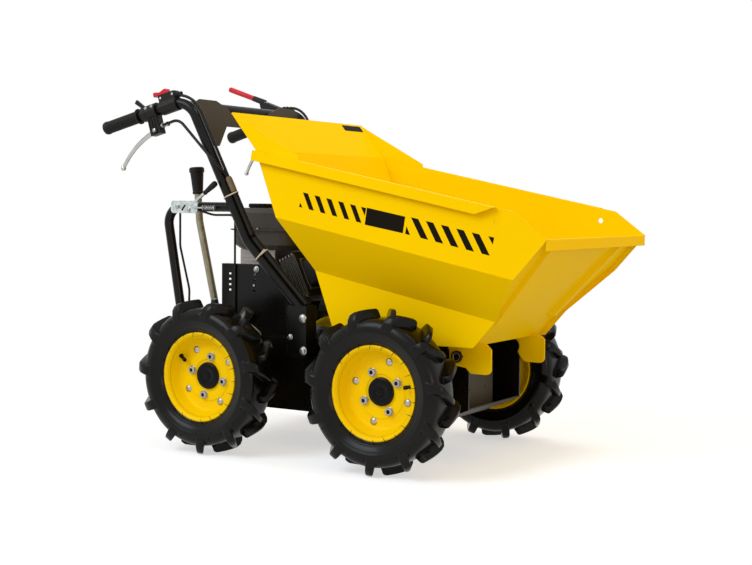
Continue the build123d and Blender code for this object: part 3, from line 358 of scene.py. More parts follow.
# %% [markdown]
# ## Dress the CAD solids
# Each solid takes the finish of the real piece. The names tell most of it, so
# one table by first word does the yellow skip, the wheels and the black
# majority, and the single pieces are listed.

# %% Dress the CAD solids
single = {
    "dash_panel": dash_skin, "red_controls": red_skin, "hand_levers": polished,
    "latch_plate": galvanised, "pivot_bolts": dark_iron, "gear_lever": olive_rod,
    "engine_block": cast_alloy, "engine_starter": switch_skin, "muffler": sprayed_alloy,
    "air_filter": switch_skin, "fuel_tank": tank_skin, "fuel_cap": switch_skin,
    "control_cables": cable_skin, "lever_perches": switch_skin, "switch_housings": switch_skin,
    "lever_knobs": grip_skin, "hand_grips": grip_skin, "skip_rest_pads": grip_skin,
    "chassis_pan": chassis_enamel, "transmission": dark_iron,
}
by_first_word = {"skip": yellow_coat, "rim": rim_coat, "tyre": tyre_skin, "hub": switch_skin}
for name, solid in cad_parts.items():
    coat = single.get(name) or by_first_word.get(name.split("_")[0], black_enamel)
    for place in solid.material_slots:
        place.material = coat
print("dressed", len(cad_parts), "solids")

# %% [markdown]
# ## Mesh tools
# Wheels, bolts, knobs and caps are all turned shapes, so one lathe makes them
# from a short profile. It adds to an open mesh, and many bolts can be kept as
# one piece. Keeping a piece marks its sharp edges, gives it a finish and sets
# the body that it rides on.

# %% Mesh tools
TO_RIGHT, TO_LEFT = Vector((0, -1, 0)), Vector((0, 1, 0))
UPWARD, FORWARD = Vector((0, 0, 1)), Vector((1, 0, 0))
flips = {1: Matrix.Identity(4), -1: Matrix.Scale(-1, 4, TO_LEFT)}


def shift(x, y, z):
    """A place moved from the origin by millimetres."""
    return Matrix.Translation(Vector((x, y, z)) * MM)


def facing(point, direction, turn=0.0):
    """A place in millimetres whose z axis points in a direction."""
    tilt = Vector(direction).to_track_quat("Z", "Y").to_matrix().to_4x4()
    return shift(*point) @ tilt @ Matrix.Rotation(turn, 4, "Z")


def around(radius, turn, y):
    """A point on a circle whose axis runs across the machine."""
    return Vector((radius * cos(turn), y, radius * sin(turn)))


def turned(mesh, profile, place, steps=32, shade=0):
    """Turns a profile of (along, radius) pairs in millimetres round a place's z axis."""
    rings = []
    for along, radius in profile:
        spin = [tau * i / steps for i in range(steps if radius > 0 else 1)]
        points = [Vector((radius * cos(a), radius * sin(a), along)) for a in spin]
        rings.append([mesh.verts.new(place @ (p * MM)) for p in points])
    for low, high in zip(rings, rings[1:]):
        for i in range(steps):
            j = (i + 1) % steps
            corners = [low[i % len(low)], low[j % len(low)], high[j % len(high)], high[i % len(high)]]
            corners = list(dict.fromkeys(corners))
            if len(corners) > 2:
                mesh.faces.new(corners).material_index = shade


def keep(mesh, name, body, *finishes, slot, sharp=35):
    """Turns an open mesh into a piece that rides on a body."""
    bmesh.ops.recalc_face_normals(mesh, faces=mesh.faces)
    made = bpy.data.objects.new(name, bpy.data.meshes.new(name))
    mesh.to_mesh(made.data)
    mesh.free()
    made.data.shade_smooth()
    made.data.set_sharp_from_angle(angle=radians(sharp))
    for coat in finishes:
        made.data.materials.append(coat)
    scene.collection.objects.link(made)
    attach(made, body)
    print(name, len(made.data.polygons), "faces")
    return made


def soften(piece, radius, angle):
    """Rounds a piece's edges that are sharper than an angle, as its mould does."""
    rounding = piece.modifiers.new("mould_radius", "BEVEL")
    rounding.width = radius * MM
    rounding.segments = 2
    rounding.angle_limit = radians(angle)


# %% [markdown]
# ## Tyres
# The tyres are the lugged kind that small tractors use: a round carcass and
# two rows of slanted bars that meet at the middle like arrow heads. A texture
# could fake the bars, but they make the outline. So the carcass is turned, and
# each bar is a loft of stations from the tread's middle over the shoulder and
# a little way down the sidewall.

# %% One tyre
half_carcass = [(35.8, 117.6), (38, 120.2), (40.8, 124), (42.6, 124.6), (44, 126.8),
    (44.2, 129), (47.2, 133.5), (51, 141.5), (52.6, 147.5), (53.6, 149.2),
    (53.9, 152), (53.4, 158), (52, 165.5), (48.8, 173), (43.5, 178.6),
    (36, 181.8), (24, 183.3), (10, 183.9)]
carcass = [(-y, r) for y, r in half_carcass] + list(reversed(half_carcass))
# top y, top radius, foot y, foot radius, middle x, half width of top, half width of foot
bar = [(6.5, 202.5, 8.5, 181, 19.5, 6.5, 10), (2.5, 205, 3.5, 181, 17, 7.5, 10.5),
    (-14, 205, -14, 181, 6, 8, 11), (-28, 204.5, -28, 180, -4, 9, 12),
    (-38, 203, -38, 178, -11, 10.2, 13), (-46, 199, -44.5, 174, -16, 11.4, 14),
    (-51.4, 191, -48.5, 169, -18.5, 12, 14.6), (-54.2, 180, -51, 163, -19.6, 12, 14.6),
    (-55.2, 170, -52.2, 157, -20, 11, 14), (-54.2, 163, -52.6, 152, -20, 9, 12.5)]
chamfer_wide, chamfer_deep = 2.4, 2.2


def lug(mesh, place, side):
    """One tread bar; side 1 leans to the outside of a right-hand wheel, -1 to the inside."""
    rows = []
    for top_y, top_r, foot_y, foot_r, x, top, foot in bar:
        crown, brow = top - chamfer_wide, top_r - chamfer_deep
        row = []
        section = [(-foot, foot_y, foot_r), (-top, top_y, brow), (-crown, top_y, top_r),
            (crown, top_y, top_r), (top, top_y, brow), (foot, foot_y, foot_r)]
        for dx, y, r in section:
            tall = sqrt(r * r - (x + dx) ** 2)
            row.append(mesh.verts.new(place @ (Vector((x + dx, side * y, tall)) * MM)))
        rows.append(row)
    for low, high in zip(rows, rows[1:]):
        for i in range(len(low) - 1):
            mesh.faces.new((low[i], low[i + 1], high[i + 1], high[i]))
    mesh.faces.new(rows[0])
    mesh.faces.new(rows[-1])


print("carcass points", len(carcass), "bar stations", len(bar))

# %% Four tyres
axle_x = {"front": 253, "rear": -285}
clocking = {"front": 21.9, "rear": 17.6}
half_track, axle_z = 324, 205
lug_count = 11
lug_pitch = radians(360 / lug_count)
along_axle = Matrix.Rotation(radians(-90), 4, "X")
wheel_spots = {}
for end in axle_x:
    for side_name, side in (("right", 1), ("left", -1)):
        name = end + "_" + side_name
        spot = shift(axle_x[end], -half_track * side, axle_z) @ flips[side]
        wheel_spots[name] = spot
        rolled = spot @ Matrix.Rotation(radians(clocking[end]), 4, "Y")
        mesh = bmesh.new()
        turned(mesh, carcass, rolled @ along_axle, 132)
        for step in range(lug_count):
            lug(mesh, rolled @ Matrix.Rotation(step * lug_pitch, 4, "Y"), 1)
            lug(mesh, rolled @ Matrix.Rotation((step + 0.5) * lug_pitch, 4, "Y"), -1)
        tyre = keep(mesh, "tyre_" + name + "_moulded", "wheel_" + name, tyre_skin,
            slot="tyre_rubber", sharp=50)
        soften(tyre, 1.6, 42)
        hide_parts("tyre_" + name)

# %% [markdown]
# ## Mould whiskers
# A new tyre still wears the thin rubber hairs that rose in the mould's air
# holes. A hair system would be heavy for so few, so each one is a tapered rod,
# in a ring by the bead and a ring on the shoulder.

# %% Mould whiskers
hair_count = 44
bead_ring, bead_y = 122.5, -40
shoulder_ring, shoulder_y = 166, -51.5
for name, spot in wheel_spots.items():
    start = clocking[name.split("_")[0]]
    mesh = bmesh.new()
    for count in range(hair_count):
        a = radians(start + 360 / hair_count * count)
        x, z = sin(a), cos(a)
        if count % 2:
            root, lean = (bead_ring * x, bead_y, bead_ring * z), (-x, -0.5, -z)
            reach = 12 + 4 * (count % 3)
        else:
            root, lean = (shoulder_ring * x, shoulder_y, shoulder_ring * z), (0.3, -1, 0.2)
            reach = 7
        turned(mesh, [(0, 0.9), (reach * 0.6, 0.7), (reach, 0)], spot @ facing(root, lean), 6)
    keep(mesh, "tyre_whiskers_" + name, "wheel_" + name, tyre_skin, slot="tyre_rubber")

# %% [markdown]
# ## Rims, nuts and valves
# A small rim is two pressed halves with a rolled flange, a sloping well and a
# flat disc with a shallow dish. The profile is turned in one go. Four plated
# nuts hold it to the hub, and four round-headed bolts join the halves. The
# valve is a rubber stem that stands out of the well.

# %% Rims
rim_line = [(-31.5, 117.6), (-34.5, 119), (-37.2, 118.2), (-38.2, 115.6), (-37.2, 112.8),
    (-33.5, 109), (-27, 105.2), (-20, 102), (-9, 98.6), (-1, 95.6),
    (2.8, 92), (4, 88), (4.3, 70), (3.7, 67.5), (2.4, 66), (2.2, 46),
    (2.6, 43.5), (4.2, 42), (4.4, 35.8), (8.2, 35.8), (8.2, 95), (12, 99),
    (26, 103.2), (33.5, 109), (37.2, 112.8), (38.2, 115.6), (37.2, 118.2),
    (34.5, 119), (31.5, 117.6), (30, 105), (-30, 105), (-31.5, 117.6)]
for name, spot in wheel_spots.items():
    mesh = bmesh.new()
    turned(mesh, rim_line, spot @ along_axle, 96)
    rim = keep(mesh, "rim_" + name + "_pressed", "wheel_" + name, rim_coat,
        slot="yellow_paint", sharp=40)
    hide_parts("rim_" + name)

# %% Nuts, bolts and valves
nut = [(0, 12.4), (1.6, 12.4), (2.2, 11), (7.2, 11), (8.6, 9.4), (8.6, 6), (7.6, 5.2)]
stud = [(3, 5.2), (6.2, 5), (6.6, 4.2), (6.6, 0)]
round_bolt = [(0, 9.6), (0.8, 9.8), (2.2, 8.6), (3.6, 6.2), (4.4, 3.2), (4.7, 0)]
valve = [(0, 6.4), (3, 6.2), (6, 4.8), (14, 4.4), (15, 5.2), (23, 5.2), (24.4, 4.4), (24.6, 0)]
cap = [(-0.5, 34.5), (1.2, 34.2), (2.2, 32.6), (2.4, 20), (1.7, 18.6), (1.5, 11.5), (2.2, 10.6),
    (3.6, 10), (3.9, 9), (3.9, 0)]
nut_ring, bolt_ring, valve_ring = 53, 78, 98
nut_seat, bolt_seat, valve_seat, cap_seat = 2.4, 4.4, -6.5, -1.5
# degrees to the first nut, to the first round-headed bolt and to the valve
first_turns = {"front": (28, 74, 13), "rear": (77, 31, 150)}
for name, spot in wheel_spots.items():
    nut_turn, bolt_turn, valve_turn = first_turns[name.split("_")[0]]
    mesh = bmesh.new()
    rubber = bmesh.new()
    for quarter in (0, 90, 180, 270):
        a = radians(nut_turn + quarter)
        at = spot @ facing(around(nut_ring, a, nut_seat), TO_RIGHT, a)
        turned(mesh, nut, at, 6)
        # the stud end is dark steel, which paints the shade in the nut's bore
        turned(mesh, stud, at, 16, 1)
        b = radians(bolt_turn + quarter)
        turned(mesh, round_bolt, spot @ facing(around(bolt_ring, b, bolt_seat), TO_RIGHT), 20)
    c = radians(valve_turn)
    stem_way = (-cos(c), -0.32, -sin(c))
    turned(rubber, valve, spot @ facing(around(valve_ring, c, valve_seat), stem_way), 16)
    turned(rubber, cap, spot @ facing((0, cap_seat, 0), TO_RIGHT), 48)
    keep(mesh, "wheel_fasteners_" + name, "wheel_" + name, zinc, dark_iron, slot="bright_steel")
    keep(rubber, "valve_and_cap_" + name, "wheel_" + name, cap_skin, slot="black_plastic")

# %% [markdown]
# ## Stripes on the skip
# Cut vinyl stripes lean along both sides of the skip, in two groups with a
# plain black plate between them. They could be painted by a texture, but film
# is a real sheet with an edge, so each stripe is a thin face laid 0.3 mm off
# the panel. The panel has its own scale: how far along the rim, how far below.

# %% Stripes and plain plates
rim_slope = radians(11.5)
rim_start_x, rim_start_z = -132, 800
skip_half = 320
film_gap = 0.3


def on_side(along, below, side):
    """A point just off the skip's upper side, by distance along its rim and below it."""
    x = rim_start_x + along * cos(rim_slope) - below * sin(rim_slope)
    z = rim_start_z - along * sin(rim_slope) - below * cos(rim_slope)
    return Vector((x, side * (skip_half + film_gap), z)) * MM


def row_of(stripe, pitch, count=5):
    """Copies of one stripe along the rim."""
    return [[(along + pitch * i, below) for along, below in stripe] for i in range(count)]


cut_ends = [[(163.9, 103), (162.4, 114), (172.8, 114)], [(343, 75.5), (358.5, 75.5), (358.5, 95)],
    [(479.5, 94), (479.5, 113), (493.5, 113)], [(699, 69.5), (714.5, 69.5), (714.5, 86)]]
blank_plate = [(360.5, 74), (471, 72.5), (473, 113), (363, 116)]
rear_stripe = [(166.6, 75.8), (182.4, 75.8), (208.6, 114), (193.6, 114)]
front_stripe = [(487, 70.5), (507.6, 70.5), (544.6, 113), (523.4, 113)]
films = cut_ends + [blank_plate] + row_of(rear_stripe, 36) + row_of(front_stripe, 42)
mesh = bmesh.new()
for side in (-1, 1):
    for film in films:
        mesh.faces.new([mesh.verts.new(on_side(along, below, side)) for along, below in film])
keep(mesh, "side_stripes", "skip", vinyl, slot="black_paint")

# %% [markdown]
# ## Rods, plates and bolts
# The rest of the trim is bent rod, cut plate and bolts, so three more tools
# make them. A curve with a round bevel would give a rod too, but a swept mesh
# lets the section change along the way, which levers, springs and weld beads
# need. A bolt is a turned washer under a turned six-sided head.

# %% Rods, plates and bolts
def skin(mesh, rings, shade=0):
    """Joins closed rings of points by faces, each ring to the next."""
    for low, high in zip(rings, rings[1:]):
        for k in range(len(low)):
            mesh.faces.new((low[k - 1], low[k], high[k], high[k - 1])).material_index = shade


def rod(mesh, points, radius, sides=10, shade=0, flat=1.0, edge=None):
    """Sweeps a rod along points in millimetres; edge and flat turn it into a strap or a blade."""
    points = [Vector(p) for p in points]
    radii = radius if isinstance(radius, list) else [radius] * len(points)
    across = (points[1] - points[0]).orthogonal() if edge is None else Vector(edge)
    turns = [tau * k / sides for k in range(sides)]
    rings = []
    for i, point in enumerate(points):
        ahead = (points[min(i + 1, len(points) - 1)] - points[max(i - 1, 0)]).normalized()
        across = (across - ahead * across.dot(ahead)).normalized()
        other = ahead.cross(across) * flat
        spokes = [across * cos(a) + other * sin(a) for a in turns]
        rings.append([mesh.verts.new((point + spoke * radii[i]) * MM) for spoke in spokes])
    skin(mesh, rings, shade)
    for ring in (rings[0], rings[-1]):
        mesh.faces.new(ring).material_index = shade


def plate(mesh, outline, place, thick, shade=0):
    """Cuts a plate to an outline of (x, y) millimetres, thick along the place's z axis."""
    low, high = ([mesh.verts.new(place @ (Vector((x, y, z)) * MM)) for x, y in outline]
        for z in (0, thick))
    walls = [(low[i - 1], low[i], high[i], high[i - 1]) for i in range(len(low))]
    for corners in (low, high, *walls):
        mesh.faces.new(corners).material_index = shade


def rounded(width, height, corner, steps=4):
    """The outline of a rectangle with round corners, about its middle."""
    line = []
    for quarter, (x, y) in enumerate(((1, 1), (-1, 1), (-1, -1), (1, -1))):
        for k in range(steps + 1):
            a = radians(90 * quarter + 90 * k / steps)
            line.append((x * (width / 2 - corner) + corner * cos(a),
                y * (height / 2 - corner) + corner * sin(a)))
    return line


def bolt(mesh, place, size, shade=0):
    """A washer and a six-sided head, measured across its corners, on a place's z axis."""
    r = size / 2
    turned(mesh, [(0, r * 1.3), (r * 0.16, r * 1.3), (r * 0.22, r * 1.2), (r * 0.22, r * 0.8)],
        place, 24, shade)
    turned(mesh, [(r * 0.18, r), (r * 0.78, r), (r * 0.9, r * 0.8), (r * 0.9, 0)], place, 6, shade)


print("corner points", len(rounded(20, 10, 2)))

# %% [markdown]
# ## Weld beads on the skip
# The skip is folded sheet, and its front panel is welded in between the sides
# from outside. A hand-laid bead is a row of overlapping blobs. A bump texture
# would stay flat from the side, so each bead is a rod whose radius swells and
# shrinks every few millimetres along the seam.

# %% Weld beads
fold_start, fold_depth, fold_inset = 156, 125, 106
panel_foot_x, panel_foot_z, panel_run, panel_rise = 448, 315, 240, 272
panel_inset = 18.2
seam_low, seam_height, seam_steps = 318, 262, 28
seam_forward, seam_inset = 1.2, 3.4
bracket_seam = [(426, 155, 314), (455, 155, 317.5)]


def side_y(x, z):
    """Half the skip's width at a point of its front."""
    below = (rim_start_z - (x - rim_start_x) * tan(rim_slope) - z) * cos(rim_slope)
    return skip_half - fold_inset * min(max((below - fold_start) / fold_depth, 0), 1)


def spaced(points, step, least):
    """Points about every step along the straight lines between points, without the last."""
    fine = []
    for a, b in zip(points, points[1:]):
        count = max(least, round((b - a).length / step))
        fine += [a.lerp(b, k / count) for k in range(count)]
    return fine


def bead(mesh, points, radius):
    """A weld bead along points in millimetres, with a swell about every 5 mm."""
    fine = spaced(points, 2.5, 2)
    rod(mesh, fine, [radius * (0.85 + 0.25 * (k % 2)) for k in range(len(fine))], 6)


seam = []
for k in range(seam_steps + 1):
    z = seam_low + seam_height * k / seam_steps
    x = panel_foot_x + panel_run * (z - panel_foot_z) / panel_rise - panel_inset
    seam.append(Vector((x + seam_forward, side_y(x, z) - seam_inset, z)))
mesh = bmesh.new()
for side in (-1, 1):
    bead(mesh, [flips[side] @ p for p in seam], 1.9)
    bead(mesh, [flips[side] @ Vector(p) for p in bracket_seam], 1.8)
keep(mesh, "skip_weld_beads", "skip", yellow_coat, slot="yellow_paint", sharp=60)

# %% [markdown]
# ## Blank plate on the hood
# A small black film sits inside the hood's far corner. It stays plain here: a
# rounded sheet laid just off the inner face of the rear wall.

# %% Blank plate on the hood
hood_top = Vector((-212, 0, 898))
wall = (Vector((rim_start_x, 0, rim_start_z)) - hood_top).normalized()
inward = Vector((-wall.z, 0, wall.x))
film_down, film_left, film_off = 17, 250, 3.1
film_middle = hood_top + wall * film_down + inward * film_off + TO_LEFT * film_left
mesh = bmesh.new()
plate(mesh, rounded(100, 21, 3), shift(*film_middle) @ axes(TO_LEFT, -wall, inward), film_gap)
keep(mesh, "hood_blank_plate", "skip", vinyl, slot="black_paint")

# %% [markdown]
# ## Hinge bolts and front screws
# The skip swings on two shoulder bolts with a six-sided socket. The CAD gives their heads, so only the
# chamfer is added, with a bright zinc ring on it that paints the highlight on the head, and a flat dark
# hexagon that paints the shade inside the socket. The chassis nose carries two small screws, in the
# same flat dark finish.

# %% Hinge bolts and front screws
hinge_x, hinge_z = 380, 286
nose_x, nose_z = 354, 187
heads_low, heads_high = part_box("pivot_bolts")
mesh = bmesh.new()
for side, flip in flips.items():
    face = abs(heads_low.y if side > 0 else heads_high.y) / MM
    at = flip @ facing((hinge_x, -face, hinge_z), TO_RIGHT, 0.4)
    turned(mesh, [(-3, 15.2), (0.2, 15.2), (1.3, 13.8), (1.3, 11.4)], at, 32)
    # bright zinc ring: a painted highlight on the bolt head
    turned(mesh, [(1.3, 11.4), (1.6, 10.8), (1.3, 8.4), (0.2, 7.8)], at, 32, 2)
    # flat dark hexagon just proud of the head: painted shade in the socket
    turned(mesh, [(0.1, 8.6), (0.15, 0)], at, 6, 1)
for y in (-49, 39):
    turned(mesh, [(0, 4.6), (1.4, 4.3), (2.2, 2.6), (2.3, 0)],
        facing((nose_x, y, nose_z), FORWARD), 16, 1)
keep(mesh, "hinge_and_nose_fasteners", "chassis", dark_iron, hole_shade, zinc, slot="bright_steel")

# %% [markdown]
# ## Hand grips
# Rubber grips are moulded with a bulb at the end, fine rings for the palm and
# a wide collar that keeps the hand off the switches. All of it is round, so
# one turned profile gives the whole grip.

# %% Hand grips
grip_end, handle_top = Vector((-677, -285, 869)), Vector((-401, -262, 945))
handle_axis = (handle_top - grip_end).normalized()
handle_across = UPWARD.cross(handle_axis).normalized()
handle_up = handle_axis.cross(handle_across)
ring_start, ring_pitch, ring_count = 14.2, 5.6, 17


def on_handle(along, out=0.0, up=0.0):
    """A point by distance from the right grip's end, outwards and up, in millimetres."""
    return grip_end + handle_axis * along - handle_across * out + handle_up * up


grip = [(-4, 0), (-4.2, 8), (-3.2, 13.6), (-0.6, 17), (3.5, 18.3), (9, 18.4), (12.5, 17.4)]
for ring in range(ring_count):
    start = ring_start + ring_pitch * ring
    grip += [(start, 16.1), (start + 0.9, 17.3), (start + 4.1, 17.3), (start + 5, 16.1)]
grip += [(111, 16.8), (114.4, 17.6), (115.4, 20.8), (117, 21.9), (119.6, 21.9), (121, 20.8),
    (121.2, 14.3)]
mesh = bmesh.new()
for flip in flips.values():
    turned(mesh, grip, flip @ facing(grip_end, handle_axis), 40)
grips = keep(mesh, "ringed_hand_grips", "chassis", grip_skin, slot="grip_rubber")
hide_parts("hand_grips")

# %% [markdown]
# ## Hand levers
# A lever is a forged alloy blade, deeper than it is thick, that bows to the
# fingers and ends in a ball so it can't hurt a hand. The blade is swept along
# a smooth curve with a flattened section. The far drive lever's arm is a
# plain bar in a black neck.

# %% Hand levers
def pulled(start, pull, end, t):
    """A point part of the way along a curve from start to end that bends towards pull."""
    return start * (1 - t) ** 2 + pull * 2 * t * (1 - t) + end * t * t


pivot_along, pivot_up = 166, -54
lever_root, lever_tip = on_handle(pivot_along, 0, pivot_up), Vector((-614, -285, 758))
lever_pull = lever_root.lerp(lever_tip, 0.5) + Vector((-20, 0, 20))
stations = [k / 20 for k in range(21)]
blade = [pulled(lever_root, lever_pull, lever_tip, t) for t in stations]
blade_depth = [5.2 - 1.5 * t ** 0.6 for t in stations]
ball = [(-8, 0), (-7.2, 3.6), (-4.6, 6.4), (0, 7.8), (4.6, 6.4), (7.2, 3.6), (8, 0)]
mesh = bmesh.new()
for flip in flips.values():
    rod(mesh, [flip @ p for p in blade], blade_depth, 16, flat=1.5, edge=flip @ handle_across)
    turned(mesh, ball, flip @ facing(lever_tip, (-0.55, 0, -0.83)), 20)
drive_lift = radians(18.6)
drive_place = facing(flips[-1] @ on_handle(172, 0, 60), (-cos(drive_lift), 0, sin(drive_lift)))
turned(mesh, [(-4, 0), (-4, 6), (52, 6), (54, 0)], drive_place, 20)
neck = [(5, 6.1), (5.4, 8.2), (8, 9.2), (46, 8.6), (51.5, 8.8), (51.8, 6)]
turned(mesh, neck, drive_place, 24, 1)
levers = keep(mesh, "forged_hand_levers", "chassis", polished, switch_skin, slot="bright_steel")
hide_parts("hand_levers")

# %% [markdown]
# ## Red controls
# The drive lever wears a dipped red sleeve with a round end, and the stop
# switch is a red rocker with two raised ends and a low middle.

# %% Red controls
sleeve = [(51.9, 0), (51.9, 7.4), (52.6, 8.3), (56, 8.3), (57, 7.9), (92, 8.1), (128, 8.3),
    (148, 8.2), (151.4, 7.2), (152.8, 4.6), (153.1, 0)]
rocker = [(184, 34.1), (228, 34.1), (228.4, 43), (226, 47), (219, 46.4), (206, 42.2), (193, 45.4),
    (187, 46.6), (184.2, 43)]
rocker_width = 22
rocker_place = shift(*grip_end) @ axes(handle_axis, handle_up, handle_axis.cross(handle_up))
mesh = bmesh.new()
turned(mesh, sleeve, drive_place, 28)
plate(mesh, rocker, rocker_place @ shift(0, 0, -rocker_width / 2), rocker_width)
reds = keep(mesh, "red_sleeve_and_rocker", "chassis", red_skin, slot="red_plastic")
soften(reds, 1.2, 50)
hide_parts("red_controls")

# %% [markdown]
# ## Lever perches and switches
# Each perch is a die-cast clamp with stiffening ribs, a pivot boss, two clamp
# screws and a threaded barrel that sets the cable. The CAD gives the block,
# and the small pieces stand on its faces.

# %% Lever perches and switches
outward = -handle_across
clamp_radius, screw_out, screw_up = 20.8, 0.86, 0.5
screw_way = (outward * screw_out + handle_up * screw_up).normalized()
switch_end = {1: 252.8, -1: 231.8}
mesh = bmesh.new()
for side, flip in flips.items():
    boss = flip @ facing(on_handle(pivot_along, 12, pivot_up), outward)
    turned(mesh, [(0, 9.6), (2.6, 9.2), (3.4, 8.2), (3.4, 0)], boss, 24)
    turned(mesh, [(3.3, 5.4), (5.2, 5), (6, 3.4), (6, 0)], boss, 20, 1)
    for along in (152.5, 161.5, 170.5, 179.5):
        rib = shift(*on_handle(along, 11.6, -31)) @ axes(handle_axis, handle_up, outward)
        plate(mesh, rounded(3.2, 27, 1.4), flip @ rib, 2.6)
    for along in (156, 176):
        screw = on_handle(along, clamp_radius * screw_out, clamp_radius * screw_up)
        turned(mesh, [(-1, 5), (2.2, 4.8), (3.4, 3.4), (3.6, 0)],
            flip @ facing(screw, screw_way), 16, 1)
    barrel = flip @ facing(on_handle(183, 0, -46), handle_axis)
    turned(mesh, [(0, 8.4), (5.4, 8.4), (6.2, 7.6), (6.2, 5.6)], barrel, 12, 1)
    turned(mesh, [(6, 5.5), (17, 5.5), (17.6, 6.8), (23.4, 6.8), (24.6, 5.8), (25.4, 4.2)],
        barrel, 20, 1)
    boot = flip @ facing(on_handle(switch_end[side], 0, 21.5), handle_axis)
    turned(mesh, [(0, 9.2), (3, 9), (4.2, 6.8), (6, 7.8), (7.8, 6.4), (9.6, 7.2), (11.4, 5.8),
        (17, 5.4), (18, 4.2)], boot, 20)
for along in (206, 246):
    turned(mesh, [(0, 3.6), (1.2, 3.4), (1.8, 2.2), (1.8, 0)],
        facing(on_handle(along, 12, 25), outward), 14, 1)
far_clamp = flips[-1] @ facing(on_handle(196, 0, -20.5), -handle_up)
turned(mesh, [(-1, 8), (3.4, 8), (4.4, 6.8), (4.4, 0)], far_clamp, 6, 1)
keep(mesh, "perch_fittings", "chassis", switch_skin, zinc, slot="black_plastic")

# %% [markdown]
# ## Conduit, sleeve and ties
# Below the handlebar the cables run in a split, ringed conduit beside each
# stalk, with a tan sleeve at its top. Two pale ties strap it to the tube. The
# rings are real ridges, because they show as a fine toothed outline.

# %% Conduit, sleeve and ties
def bent(points, bend, step):
    """Points every few millimetres along a line whose corners are rounded."""
    line = [points[0]]
    for before, here, after in zip(points, points[1:], points[2:]):
        a, b = (before - here).normalized(), (after - here).normalized()
        reach = bend / tan(a.angle(b) / 2)
        line += [pulled(here + a * reach, here, here + b * reach, k / 16) for k in range(17)]
    line.append(points[-1])
    return spaced(line, step, 1) + [line[-1]]


def beside(way):
    """The direction in which the conduit lies off a stalk that runs some way."""
    return Vector((-way.z, 0, way.x)).normalized()


knee, foot = Vector((-225, -229, 563)), Vector((-62, -208, 385))
upper, lower = (knee - handle_top).normalized(), (foot - knee).normalized()
conduit_off, conduit_bend, ridge_step = 21.5, 39, 2.4
conduit_from, sleeve_from = 0.66, 0.575
tube_strap, conduit_strap = 15.2, 9.4
ties = [(handle_top.lerp(knee, 0.69), upper, 6), (knee.lerp(foot, 0.24), lower, 34)]
corner_off = conduit_off / (1 + beside(upper).dot(beside(lower)))
corner = knee + (beside(upper) + beside(lower)) * corner_off
top = handle_top.lerp(knee, conduit_from) + beside(upper) * conduit_off
sleeve_top = handle_top.lerp(knee, sleeve_from) + beside(upper) * conduit_off
bottom = foot - lower * 12 + beside(lower) * conduit_off
conduit = bent([top, corner, bottom], conduit_bend, ridge_step)
tan_sleeve = bent([sleeve_top, top, top + upper * 8], 200, 4)
mesh = bmesh.new()
for flip in flips.values():
    rod(mesh, [flip @ p for p in conduit], [7.3 + 0.9 * (k % 2) for k in range(len(conduit))], 12)
    rod(mesh, [flip @ p for p in tan_sleeve], [5.5, 8] + [8.6] * (len(tan_sleeve) - 3) + [8], 14, 1)
    for start, way, tail in ties:
        strap = []
        for centre, radius, tens in (
            (start, tube_strap, range(-9, 10)),
            (start + beside(way) * conduit_off, conduit_strap, range(9, 28)),
        ):
            for k in tens:
                a = radians(10 * k + 180)
                spoke = beside(way) * cos(a) + way.cross(beside(way)) * sin(a)
                strap.append(centre + spoke * radius)
        strap += [strap[0], strap[0] + beside(way) * tail + Vector((0, -3, 0))]
        rod(mesh, [flip @ p for p in strap], 1.9, 8, 2, flat=0.45, edge=flip @ way)
keep(mesh, "conduits_and_ties", "chassis", cable_skin, sleeve_skin, tie_skin, slot="black_plastic",
    sharp=70)

# %% [markdown]
# ## Latch, spring and knobs
# The latch plate on the right stay pulls a small rod through a spring, and
# its handle ends in a rubber grip. The spring is a real helix. The gear knob
# is turned: a flat round top over a neck that narrows to the rod.

# %% Latch and spring
pull_y, pull_z = -256.4, 650.2
spring_x, spring_length, coil_radius = -350, 34, 5.6
coil_steps, coil_turn = 96, 0.46
latch_face = -253.1
mesh = bmesh.new()
rod(mesh, [(-386, pull_y, pull_z), (-312, pull_y, pull_z)], 2.4, 12)
helix = [(spring_x + spring_length * k / coil_steps, pull_y + coil_radius * cos(k * coil_turn),
    pull_z + coil_radius * sin(k * coil_turn)) for k in range(coil_steps + 1)]
rod(mesh, helix, 1.1, 8)
for x in (-353, -314):
    turned(mesh, [(-1.2, 0), (-1.2, 7.2), (1.2, 7.2), (1.2, 0)],
        facing((x, pull_y, pull_z), FORWARD), 24)
bolt(mesh, facing((-446, latch_face, 654), TO_RIGHT, 0.3), 12)
bolt(mesh, facing((-407, latch_face, 645), TO_RIGHT, 0.1), 10)
# a thin sheet in the flat dark bore finish paints the shade of a slot in the latch plate
plate(mesh, rounded(20, 5, 2.4), facing((-426, latch_face + 0.05, 650), TO_RIGHT, 0.9), 0.4, 1)
keep(mesh, "latch_spring_and_bolts", "chassis", zinc, hole_shade, slot="bright_steel")

# %% Gear knob and latch grip
gear_lean, top_lean = radians(13.7), radians(4.3)
gear_foot_x, gear_foot_z, gear_y, gear_knee_z = -426, 305, -90, 612
gear_knee_x = gear_foot_x - (gear_knee_z - gear_foot_z) * tan(gear_lean)
gear_up = Vector((-sin(top_lean), 0, cos(top_lean)))
knob_start = Vector((gear_knee_x, gear_y, gear_knee_z)) + gear_up * 78
knob = [(-1, 10.6), (-1, 14.2), (0.6, 15.4), (5, 15.6), (6, 14.8), (8, 14.9), (34, 17),
    (56, 18.9), (59.5, 19.2), (61, 20.4), (62.4, 21.7), (70.5, 21.8), (74.2, 20.2),
    (75.8, 17), (75.6, 14), (74.6, 12.6), (75.4, 9), (76.2, 0)]
latch_lift, latch_swing = radians(31), radians(10)
latch_axis = (cos(latch_lift), -tan(latch_swing), sin(latch_lift))
latch_foot = (-392, -250.6, 663)
